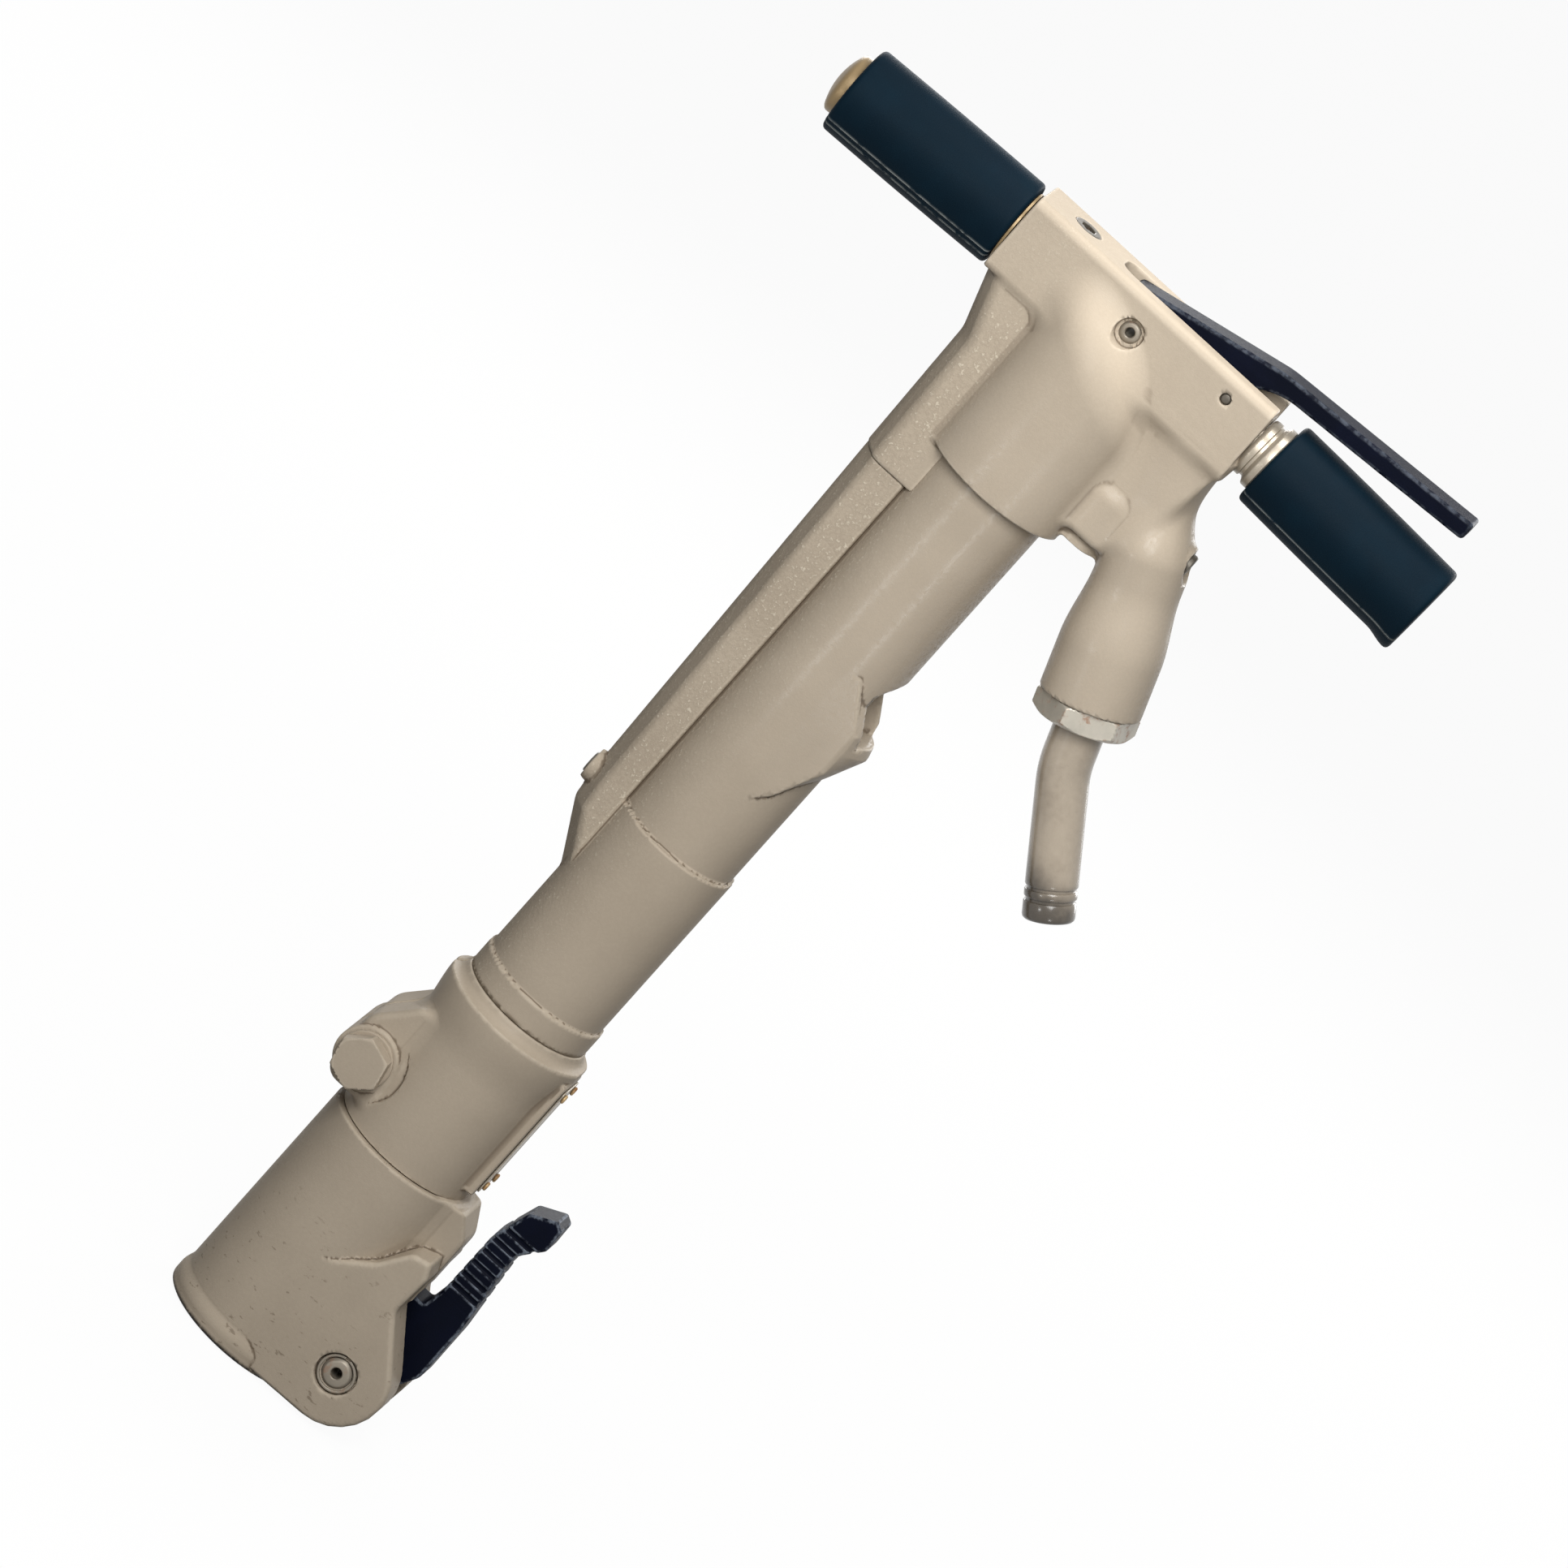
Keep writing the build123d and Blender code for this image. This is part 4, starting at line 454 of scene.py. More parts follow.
def skin(form, corner, far, step):
    """Closed four-sided faces over a form: one point in each cell that the surface crosses, set on its edges."""
    corner = np.array(corner, float) - MARGIN_CELLS * step
    counts = np.ceil((np.array(far, float) + MARGIN_CELLS * step - corner) / (BLOCK * step)).astype(int)
    values = sampled(form, corner, counts, step)
    solid = values < 0
    if any(np.take(solid, side, axis).any() for axis in range(3) for side in (0, -1)):
        raise RuntimeError("a form reaches out of its box")
    shape = np.array(solid.shape) - 1
    filled = sum(solid[tuple(slice(s, s + n) for s, n in zip(shift, shape))].astype(np.int8)
                 for shift in np.ndindex(2, 2, 2))
    cells = np.argwhere((filled > 0) & (filled < 8))
    number = np.full(shape, -1)
    number[tuple(cells.T)] = np.arange(len(cells))
    total = np.zeros((len(cells), 3))
    hits = np.zeros(len(cells))
    quads = []
    marks = []
    unit = np.eye(3, dtype=int)
    for axis in range(3):
        first, second = np.delete(values, -1, axis), np.delete(values, 0, axis)
        edges = np.argwhere((first < 0) != (second < 0))
        start = first[tuple(edges.T)]
        share = start / (start - second[tuple(edges.T)])
        points = corner + (edges + share[:, None] * unit[axis]) * step
        u, v = unit[(axis + 1) % 3], unit[(axis + 2) % 3]
        around = np.stack([number[tuple((edges - a * u - b * v).T)] for a, b in RING_FACES], 1)
        quads.append(np.where((start < 0)[:, None], around, around[:, ::-1]))
        marks.append((around, points, form.slopes(points)))
        for ring in around.T:
            np.add.at(total, ring, points)
            np.add.at(hits, ring, 1)
    middle = total / hits[:, None]
    square = np.zeros((len(cells), 3, 3))
    pull = np.zeros((len(cells), 3))
    for around, points, slopes in marks:
        for ring in around.T:
            np.add.at(square, ring, slopes[:, :, None] * slopes[:, None, :])
            np.add.at(pull, ring, slopes * (slopes * (points - middle[ring])).sum(axis=1, keepdims=True))
    spots = middle + np.linalg.solve(square + HOLD * np.eye(3), pull[:, :, None])[:, :, 0]
    centre = corner + (cells + 0.5) * step
    spots = np.clip(spots, centre - CELL_ROOM * step, centre + CELL_ROOM * step)
    for _ in range(STRIDES):
        spots = spots - np.clip(form(spots.T), -STRIDE * step, STRIDE * step)[:, None] * form.slopes(spots)
    return spots, np.concatenate(quads)


def keep(mesh, name, values, kind="FLOAT", domain="POINT"):
    """Keeps values on a mesh under a name."""
    kept = mesh.attributes.new(name, kind, domain)
    kept.data.foreach_set("value" if kind == "FLOAT" else "vector", np.asarray(values, float).ravel())


def field_mesh(name, form, corner, far, step, coarse=None):
    """Mesh of a form, with the form's own normals and its edges and rough casting kept as attributes."""
    spots, quads = skin(form, corner, far, step)
    mesh = bpy.data.meshes.new(name)
    mesh.from_pydata((spots * MM).tolist(), [], quads.tolist())
    mesh.update()
    corners = spots[quads]
    inward = corners + NORMAL_INSET * (corners.mean(axis=1, keepdims=True) - corners)
    mesh.shade_smooth()
    keep(mesh, "custom_normal", form.slopes(inward.reshape(-1, 3)), "FLOAT_VECTOR", "CORNER")
    keep(mesh, "edge", np.clip(form.bend(spots) * EDGE_GAIN, -1, 1))
    if coarse is not None:
        keep(mesh, "coarse", np.clip(coarse(spots.T), 0, 1))
    return mesh


def straight(origin, along):
    """Axis of a turned piece: the place and the two cross directions at a run along it."""
    origin, along = np.array(origin, float), np.array(along, float)
    side = ALONG_Y if abs(along[1]) < 0.5 else ALONG_X
    other = np.cross(along, side)
    return lambda run: (origin + along * run, side, other)


def stitch(bm, first, second):
    """Faces between two rings of points; a ring of one point closes on the axis."""
    sides = max(len(first), len(second))
    for j in range(sides if sides > 1 else 0):
        k = (j + 1) % sides
        face = [first[j % len(first)], first[k % len(first)], second[k % len(second)], second[j % len(second)]]
        bm.faces.new(list(dict.fromkeys(face)))


def closed_mesh(name, bm, sharp=38):
    """Mesh of a finished edit, facing outwards, smooth but for its sharp edges."""
    bmesh.ops.recalc_face_normals(bm, faces=bm.faces)
    mesh = bpy.data.meshes.new(name)
    bm.to_mesh(mesh)
    bm.free()
    mesh.shade_smooth()
    mesh.set_sharp_from_angle(angle=math.radians(sharp))
    return mesh


def turned_mesh(name, outline, axis, sides=72, shape=None):
    """Round mesh from a closed (run, radius) outline; a radius of 0 closes it on the axis."""
    turns = np.arange(sides) * 2 * math.pi / sides
    bm = bmesh.new()
    rings = []
    for run, radius in outline:
        place, side, other = axis(run)
        ring = place[None, :]
        if radius > 1e-6:
            spread = radius if shape is None else radius + shape(run, radius, turns)
            ring = place + np.outer(np.cos(turns) * spread, side) + np.outer(np.sin(turns) * spread, other)
        rings.append([bm.verts.new(spot * MM) for spot in ring])
    for first, second in zip(rings, rings[1:] + rings[:1]):
        stitch(bm, first, second)
    return closed_mesh(name, bm)


def coil_mesh(name, x, bottom, top, radius, wire, turns):
    """Closed spring wire wound round an upright line."""
    bm = bmesh.new()
    per_turn, sides, sharp = 28, 12, 60
    steps = int(turns * per_turn)
    around = [2 * math.pi * j / sides for j in range(sides)]
    rings = []
    for i in range(steps + 1):
        angle = 2 * math.pi * turns * i / steps
        outward = np.array((math.cos(angle), math.sin(angle), 0.0))
        centre = np.array((x, 0.0, bottom + wire + (top - bottom - 2 * wire) * i / steps)) + radius * outward
        ring = [centre + wire * (math.cos(turn) * outward + math.sin(turn) * ALONG_Z) for turn in around]
        rings.append([bm.verts.new(spot * MM) for spot in ring])
    for first, second in zip(rings, rings[1:]):
        stitch(bm, first, second)
    bm.faces.new(rings[0][::-1])
    bm.faces.new(rings[-1])
    return closed_mesh(name, bm, sharp)


def piece(mesh, node, material, body="machine"):
    """New piece in place of a CAD node, riding on a body."""
    made = bpy.data.objects.new(mesh.name, mesh)
    bpy.context.scene.collection.objects.link(made)
    made.data.materials.append(finish(material))
    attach(made, body)
    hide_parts(node)
    return made


# Shader wiring

class Wire:
    """An output socket of a node tree; sums on it add Math nodes."""

    def __init__(self, tree, socket=None):
        self.tree = tree
        self.socket = socket

    def node(self, kind, settings=None, sockets=None, output=0):
        """New node: its settings first, then values or links for its sockets."""
        made = self.tree.nodes.new(kind)
        for name, value in (settings or {}).items():
            setattr(made, name, value)
        for key, value in (sockets or {}).items():
            if isinstance(value, Wire):
                value.feed(made.inputs[key])
            else:
                made.inputs[key].default_value = value
        return Wire(self.tree, made.outputs[output])

    def feed(self, socket):
        """Links this output to a socket."""
        self.tree.links.new(self.socket, socket)

    def math(self, operation, *terms):
        """Math node on values and wires."""
        return self.node("ShaderNodeMath", {"operation": operation}, dict(enumerate(terms)))

    def __add__(self, other):
        return self.math("ADD", self, other)

    def __sub__(self, other):
        return self.math("SUBTRACT", self, other)

    def __rsub__(self, other):
        return self.math("SUBTRACT", other, self)

    def __mul__(self, other):
        return self.math("MULTIPLY", self, other)

    __radd__ = __add__
    __rmul__ = __mul__

    def span(self, start, end):
        """Smooth rise from 0 at start to 1 at end."""
        return self.node("ShaderNodeMapRange", {"interpolation_type": "SMOOTHSTEP"},
                         {"Value": self, "From Min": start, "From Max": end})

    def fade(self, start, end):
        """Colour between two, by this value."""
        start, end = (c if isinstance(c, Wire) else (*c, 1.0) for c in (start, end))
        return self.node("ShaderNodeMix", {"data_type": "RGBA"}, {0: self, 6: start, 7: end}, 2)

    def stretched(self, x, y, z):
        """Coordinates scaled along each axis."""
        return self.node("ShaderNodeVectorMath", {"operation": "MULTIPLY"}, {0: self, 1: (x, y, z)})

    def height(self):
        """Height of these coordinates."""
        return self.node("ShaderNodeSeparateXYZ", None, {0: self}, "Z")

    def noise(self, scale, detail=2.0, roughness=0.5):
        """Cloudy noise over these coordinates."""
        return self.node("ShaderNodeTexNoise", None, {
            "Vector": self, "Scale": scale, "Detail": detail, "Roughness": roughness})

    def kept(self, name):
        """Value kept on the mesh."""
        return self.node("ShaderNodeAttribute", {"attribute_name": name}, None, "Fac")

    def bump(self, distance, strength=0.5):
        """Normals for this height."""
        return self.node("ShaderNodeBump", None, {"Strength": strength, "Distance": distance, "Height": self})


SOCKETS = {
    "colour": "Base Color", "roughness": "Roughness", "metallic": "Metallic", "normal": "Normal",
    "coat": "Coat Weight", "coat_roughness": "Coat Roughness", "specular": "Specular IOR Level",
}


def surface(name):
    """New material: itself, its coordinates and its shader."""
    material = bpy.data.materials.new(name)
    material.use_nodes = True
    coords = Wire(material.node_tree).node("ShaderNodeTexCoord", None, None, "Object")
    return material, coords, material.node_tree.nodes["Principled BSDF"]


def dress(shader, **looks):
    """Links or sets sockets of a material's shader."""
    for key, look in looks.items():
        socket = shader.inputs[SOCKETS[key]]
        if isinstance(look, Wire):
            look.feed(socket)
        else:
            socket.default_value = look


def layered(body, *layers):
    """Colour with others laid over it in turn, each by its mask."""
    for mask, over in layers:
        body = mask.fade(body, over)
    return body


def cast_paint(name, smooth=False):
    """Satin tan paint over sand casting: grain, worn edges with a painted highlight, dirt with painted shade in
    valleys, scuffs on the nose.
    """
    colours = bpy.context.scene.breaker_finish
    material, coords, shader = surface(name)
    edge, coarse, height = coords.kept("edge"), coords.kept("coarse"), coords.height()
    cloud, broken = coords.noise(16, 3, 0.55), coords.noise(240, 3, 0.6)
    grain, speck = coords.noise(520, 4, 0.6), coords.noise(1500, 2, 0.6)
    dirt = cloud.span(0.3, 0.75) * 0.12 + grain.span(0.35, 0.75) * (0.05 + 0.18 * coarse)
    pale = grain.span(0.55, 0.70) * coarse * 0.6
    # Outer edges: worn paint together with a painted highlight.
    worn_edge_and_highlight = edge.span(0.35, 1.0) * broken.span(0.25, 0.6) * 0.16
    # Valleys and creases: painted shade together with oil and dust.
    valley_grime_and_shade = (0 - edge).span(0.22, 0.95) * 0.7
    nose = 1 - height.span(0.03, 0.128)
    scuff = coords.stretched(1, 1, 2.6).noise(150, 3, 0.62).span(0.63, 0.70) * nose * 0.5
    hem = (1 - height.span(0.0012, 0.0042)) * (0.25 + 0.75 * broken.span(0.30, 0.52))
    body = layered(
        colours.paint, (dirt, colours.grime_and_shade_colour), (pale, colours.pale_paint_and_highlight), (worn_edge_and_highlight, colours.pale_paint_and_highlight),
        (valley_grime_and_shade, colours.grime_and_shade_colour), (scuff, colours.grime_and_shade_colour), (hem, (0.012, 0.010, 0.009)))
    if smooth:
        relief = 0.35 * coords.noise(700, 3, 0.6) + 0.2 * speck
    else:
        relief = grain * (0.32 + 1.6 * coarse) + 0.3 * speck + 0.6 * coords.noise(95, 2, 0.5)
    rubbed_zone = height.span(0.40, 0.48) * (1 - height.span(0.60, 0.67))
    satin = (1 - coarse) * grain.span(0.30, 0.62) * (0.08 + 0.5 * rubbed_zone)
    dress(shader, colour=body, roughness=0.40 + 0.14 * grain + 0.16 * coarse, normal=relief.bump(0.00035, 0.55),
          coat=satin, coat_roughness=0.25, specular=0.03)
    return material


def tube_paint(name):
    """Smooth worn paint on the drawn inlet tube, oily at its grooves."""
    colours = bpy.context.scene.breaker_finish
    material, coords, shader = surface(name)
    streak, cloud = coords.noise(300, 3, 0.6), coords.noise(60, 3, 0.6)
    dirt = 0.06 + streak.span(0.35, 0.75) * 0.12 + cloud.span(0.4, 0.8) * 0.2
    oily = (1 - coords.height().span(0.452, 0.470)) * (0.45 + 0.4 * cloud.span(0.2, 0.6))
    body = layered(colours.paint, (dirt, colours.grime_and_shade_colour), (oily, (0.030, 0.025, 0.020)))
    dress(shader, colour=body, roughness=0.20 + 0.14 * streak, normal=streak.bump(0.00006),
          coat=0.7 - 0.1 * cloud, coat_roughness=0.15, specular=0.2)
    return material


def grip_rubber(name):
    """Blue-black moulded rubber with pale moulding lines."""
    colours = bpy.context.scene.breaker_finish
    material, coords, shader = surface(name)
    dust, pores, broken = coords.noise(35, 4, 0.6), coords.noise(1400, 3, 0.6), coords.noise(130, 3, 0.6)
    lines = coords.kept("flash") * broken.span(0.32, 0.52)
    body = layered(colours.rubber, (dust.span(0.35, 0.8) * 0.5, tone(8, 30, 42)),
                   (pores.span(0.62, 0.75) * 0.2, tone(26, 38, 46)), (lines, colours.rubber_flash))
    dress(shader, colour=body, roughness=0.46 + 0.2 * pores + 0.08 * dust, normal=(pores + 0.5 * dust).bump(0.00014),
          specular=0.05)
    return material


def dark_steel(name):
    """Blue-black finish of the lever and latch, worn on edges with a painted highlight."""
    colours = bpy.context.scene.breaker_finish
    material, coords, shader = surface(name)
    cloud, grain, broken = coords.noise(45, 4, 0.6), coords.noise(800, 3, 0.6), coords.noise(210, 4, 0.65)
    # Edges, strongest on the latch and weakest on the lever: worn steel together with a painted highlight.
    latch_wear_and_highlight = 0.8 - 0.55 * coords.height().span(0.2, 0.6)
    worn_edge_and_highlight = coords.kept("edge").span(0.3, 1.0) * broken.span(0.36, 0.64) * latch_wear_and_highlight
    body = layered(colours.dark_steel, (cloud.span(0.35, 0.75) * 0.5, tone(9, 14, 32)), (worn_edge_and_highlight, colours.dark_wear_and_highlight))
    dress(shader, colour=body, roughness=0.36 + 0.2 * grain, normal=(grain + 0.6 * cloud).bump(0.00016), specular=0.05)
    return material


def bare_metal(name, colour, tint, roughness, rust=0.0, lines=(1, 1, 1)):
    """Bare or plated metal with fine tool lines, stains, rust, and dirt with painted shade in hollows."""
    colours = bpy.context.scene.breaker_finish
    material, coords, shader = surface(name)
    clean = [tint * c for c in colour]
    tool, stain = coords.stretched(*lines).noise(900, 3, 0.6), coords.noise(90, 4, 0.6)
    # Hollows: painted shade together with dirt.
    hollow_grime_and_shade = (0 - coords.kept("edge")).span(0.15, 0.8) * 0.5
    eaten = coords.noise(160, 4, 0.65).span(0.62 - 0.14 * rust, 0.70) * rust
    body = layered(clean, (stain.span(0.4, 0.8) * 0.35, [0.42 * c for c in clean]), (hollow_grime_and_shade, colours.grime_and_shade_colour),
                   (eaten, colours.rust))
    dress(shader, colour=body, roughness=roughness + 0.12 * stain + 0.10 * tool + 0.35 * eaten,
          metallic=0.45 - 0.4 * eaten, normal=(tool + 1.5 * eaten).bump(0.00005))
    return material


def dark_rubber(name):
    """Plain black rubber of seals and buffers."""
    material, coords, shader = surface(name)
    pores = coords.noise(1100, 3, 0.6)
    body = (pores.span(0.4, 0.8) * 0.6).fade(tone(22, 22, 22), tone(52, 50, 48))
    dress(shader, colour=body, roughness=0.6 + 0.2 * pores, normal=pores.bump(0.0001))
    return material


FINISHES = {}


def finish(name):
    """Material of the breaker by its name, made once."""
    if name not in FINISHES:
        colours = bpy.context.scene.breaker_finish
        makers = {
            "casting paint": (cast_paint,),
            "fastener paint": (cast_paint, True),
            "tube paint": (tube_paint,),
            "grip rubber": (grip_rubber,),
            "dark steel": (dark_steel,),
            "zinc plating": (bare_metal, colours.zinc, 0.68, 0.26, 0.7),
            "brass": (bare_metal, colours.brass, 0.6, 0.28),
            "turned steel": (bare_metal, colours.steel, 1.0, 0.24, 0.0, (6, 0.4, 0.4)),
            "pin steel": (bare_metal, colours.steel, 0.62, 0.36, 0.3),
            "oiled steel": (bare_metal, colours.steel, 0.24, 0.34),
            "screw steel": (bare_metal, colours.brass, 1.0, 0.34, 0.8),
            "plate aluminium": (bare_metal, colours.steel, 0.8, 0.3, 0.25, (1, 1, 0.05)),
            "seal rubber": (dark_rubber,),
        }
        maker, *looks = makers[name]
        FINISHES[name] = maker(name, *looks)
    return FINISHES[name]


# Pieces

def in_mm(value):
    """A setting in millimetres."""
    return value / MM


def fine_step(share=1.0):
    """Size of a face on the small pieces."""
    return in_mm(bpy.context.scene.breaker_casting.fine_step) * share


def slanted_flank(outline, flat_edge):
    """Bound that leads a rib's front face back to its narrow outer side."""
    outline = eased(outline)
    return Form(lambda p: outline_distance(outline, p[0], p[2]) * 0.88 + (np.abs(p[1]) - flat_edge) * 0.475)


def leg_field(p):
    """Inlet leg: a round bar that swells towards its nut and narrows under the T."""
    out = p - INLET[:, None]
    run = -along_of(out, LEG_DOWN)
    around = np.hypot(along_of(out, LEG_SIDE), out[1] * (1 - 0.1 * ramp(run, 55, 105)))
    radius = 26.6 - 4 * ramp(run, 28, 66) - 8 * ramp(run, 80, 110)
    return round_max(round_max((around - radius) * 0.93, -run, 1.2), run - 146, 6)


def backhead_form(cast):
    """T-body, barrel, duct hood, throttle boss and inlet leg in one casting."""
    edge = in_mm(cast.edge_round)
    tee = block((-200, -T_HALF, T_FLOOR), (200, T_HALF, T_TOP), 2 * edge)
    tee = tee.within(1.2, block((T_LEFT, -60, 600), (T_RIGHT, 60, 800)))
    shoulder = half_space((0, 0, T_FLOOR + 24), (0.5, 0, 1))
    barrel = post(0, BARREL_R + 1.5, BARREL_LOW + 1, 760, 1.6).within(in_mm(cast.shoulder_round), shoulder)
    outline = [(0, 500, 0), (-60.4, 500, 0), (-63.6, 637, 18), (-73.6, 668, 6), (T_LEFT, T_FLOOR + 8, 0),
               (T_LEFT, T_FLOOR + 16, 0), (0, T_FLOOR + 16, 0)]
    hood = slab(outline, T_HALF - 1.8, edge).within(4, slanted_flank(outline, 3))
    hood = hood.within(1.6, half_space((0, 0, HOOD_SEAM), -ALONG_Z))
    web = slab([(0, 603, 0), (58, 603, 5), (66, 616, 12), (77.5, 660, 14), (82, T_FLOOR + 10, 0),
                (0, T_FLOOR + 10, 0)], 17.2, edge)
    cap_low = low("throttle_cap", "z")
    boss = post(THROTTLE_X, 19.2, cap_low + 7, cap_low + 37, 3, 9)
    boss = boss.join(1.2, post(THROTTLE_X, 13.6, cap_low - 0.6, cap_low + 20, 0.9))
    plug = (0, 0, mid("inlet_oil_plug", "z"))
    plug_seat = low("inlet_oil_plug", "x") + 8
    form = tee.join(9, barrel).join(2.5, hood).join(6, web.join(in_mm(cast.leg_fillet), Form(leg_field)))
    form = form.join(3.5, boss).join(2.5, bar(plug, ALONG_X, 9, 70, plug_seat, 0.8))
    lever_x, lever_z = LEVER_PIN[0], LEVER_PIN[2]
    slot_half, outside = 9.4, 160
    return form.drilled(
        (0.8, post(0, 33.55, 400, BORE_TOP)),
        (0, post(DUCT_X, DUCT_R, 400, BORE_TOP), bar((DUCT_X, 0, 653), ALONG_X, 4.5, 0, 93)),
        (0.5, post(THROTTLE_X, 11.05, 500, 648)),
        (0, post(THROTTLE_X, 6.5, 640, 662), post(THROTTLE_X, 4 + SLIDE_ROOM, 650, 690)),
        (0.8, pocket(-24, 66, slot_half, 7, 686, 800)),
        (0.8, block((0, -slot_half, 709), (T_RIGHT + 20, slot_half, 800))),
        (0, cross_bar(lever_x, lever_z, 5.53)),
        (0.7, *both_sides(lever_x, lever_z, 7.6, 20.6)),
        (0.5, cross_bar(mid("lever_stop_pin", "x"), mid("lever_stop_pin", "z"), 3.03)),
        (0.8, post(mid("oil_plug", "x"), 8.03, low("oil_plug", "z"), 800)),
        (0, bar(INLET, -LEG_DOWN, 12, -40, 100), bar(INLET, -LEG_DOWN, 17.8, -40, 23.8)),
        (0.6, bar(INLET, -LEG_DOWN, 19.55, -40, 14)),
        (0, bar(plug, ALONG_X, 5, THROTTLE_X, plug_seat)),
        (0.6, bar(plug, ALONG_X, 6.03, plug_seat - 8, outside), bar(plug, ALONG_X, 9, plug_seat, outside)),
        (0.6, bar(ARM_HUB, LEFT_ARM, 12.03, 45, 120), bar(ARM_HUB, RIGHT_ARM, 12.03, 68, 120)),
    )


def exhaust_form():
    """Hood that carries the cylinder's front on to a slanted mouth, and the mouth."""
    tangent, lip_y = 9.9, 24.5
    lip = eased([(tangent, 389, 0), (22, 402, 16), (33.4, 427, 6), (33.4, 452.5, 1.5), (16.6, 478.5, 2),
                 (tangent, 478.5, 0)])
    back = eased([(tangent, 389, 0), (24, 404, 14), (34.5, 420, 8), (43.8, 440, 3), (41.4, 449, 2), (30.6, 467.5, 2),
                  (24.5, 478.5, 2), (tangent, 478.5, 0)])

    def field(p):
        share = np.clip(np.abs(p[1]) / lip_y, 0, 1) ** 2
        side = share * outline_distance(lip, p[0], p[2]) + (1 - share) * outline_distance(back, p[0], p[2])
        front = (np.abs(p[1]) - 34.99 + 0.306 * np.clip(p[0], 0, 60)) * 0.95
        return round_max(side * 0.9, front, 1.4)
    mouth = slab([(13, 440, 2), (60, 452, 0), (60, 520, 0), (27, 473.5, 1.5), (13, 458, 2)], 18.5, 2)
    return Form(field), mouth


def cylinder_form(cast):
    """Cylinder with its collar and step, air duct and exhaust hood."""
    wall, step_r, collar_r, neck_r, step_z = 33.5, 35.2, 36.6, 31, 346
    body = post(0, neck_r, CYLINDER_LOW, SLEEVE_TOP + 10, 0.6)
    body = body.join(0, post(0, wall, SLEEVE_TOP + 0.1, CYLINDER_TOP, 0.6, 0.6))
    body = body.join(0.2, post(0, step_r, SLEEVE_TOP + 5, step_z, 0, 0.4))
    body = body.join(0.5, post(0, collar_r, SLEEVE_TOP + 0.3, SLEEVE_TOP + 15, 0.8, 0.9))
    outline = [(0, 284, 0), (-30.5, 284, 0), (-53.6, 326, 12), (-55.1, 340, 0), (-61.9, 580, 0), (0, 580, 0)]
    duct = slab(outline, 18.6, 1.5).within(3, slanted_flank(outline, 1))
    duct = duct.within(2, half_space((-31.5, 0, 0), ALONG_X))
    duct = duct.within(0.4, half_space((0, 0, HOOD_SEAM - 0.1), ALONG_Z))
    hood, mouth = exhaust_form()
    foot = (DUCT_X, 0, mid("duct_plug", "z"))
    body = body.join(1.2, duct).join(0, hood).drilled(
        (1.0, mouth),
        (0.5, post(0, 27.05, 100, 320.35), post(0, 22.15 + SLIDE_ROOM, 300, 700)),
        (0, post(DUCT_X, DUCT_R, 338, 700)),
    )
    return body.join(1.5, bar(foot, -ALONG_X, 9, 4, 12.4, 1.0)).cut(0.6, bar(foot, -ALONG_X, 6.03, 0, 40))


def sleeve_form(cast):
    """Split clamp sleeve that widens to its rim, with bolt ears and the flat for the plate."""
    def wall_field(p):
        around = np.hypot(p[0], p[1]) - 40 - 3 * ramp(p[2], 192, 221)
        return round_max(round_max(around, p[2] - SLEEVE_TOP, 1.3), SEAM_Z + 0.5 - p[2], 0.8)

    def cove_field(p):
        return np.hypot(np.hypot(p[0], p[1]) - 43.6, p[2] - SLEEVE_TOP) - in_mm(cast.rim_cove)
    pad_x, boss_y = low("nameplate", "x"), 31
    ear = slab([(0, 140, 0), (-55, 140, 9), (-55, 178, 14), (-36, 200, 8), (0, 200, 0)], 29,
               1.4 * in_mm(cast.edge_round))
    body = Form(wall_field).join(2, block((0, -17, 140), (pad_x, 17, 215), 1.2))
    body = body.cut(0.6, block((pad_x, -17.2, 100), (90, 17.2, 300)))
    body = body.join(4, ear).join(1.2, cross_bar(BOLT_X, BOLT_Z, 17, -boss_y, boss_y, 1.2))
    return body.drilled(
        (1.0, *both_sides(BOLT_X, BOLT_Z, 22.5, boss_y)),
        (0.8, block((-90, -2.5, 100), (0, 2.5, 300))),
        (0.5, cross_bar(BOLT_X, BOLT_Z, 8.5)),
        (0.4, post(0, 31.04, 50, 300)),
        (0.7, Form(cove_field)),
        (0, *(bar((pad_x, y, z), -ALONG_X, 2.4, -5, 6.5) for y, z in SCREWS)),
    )


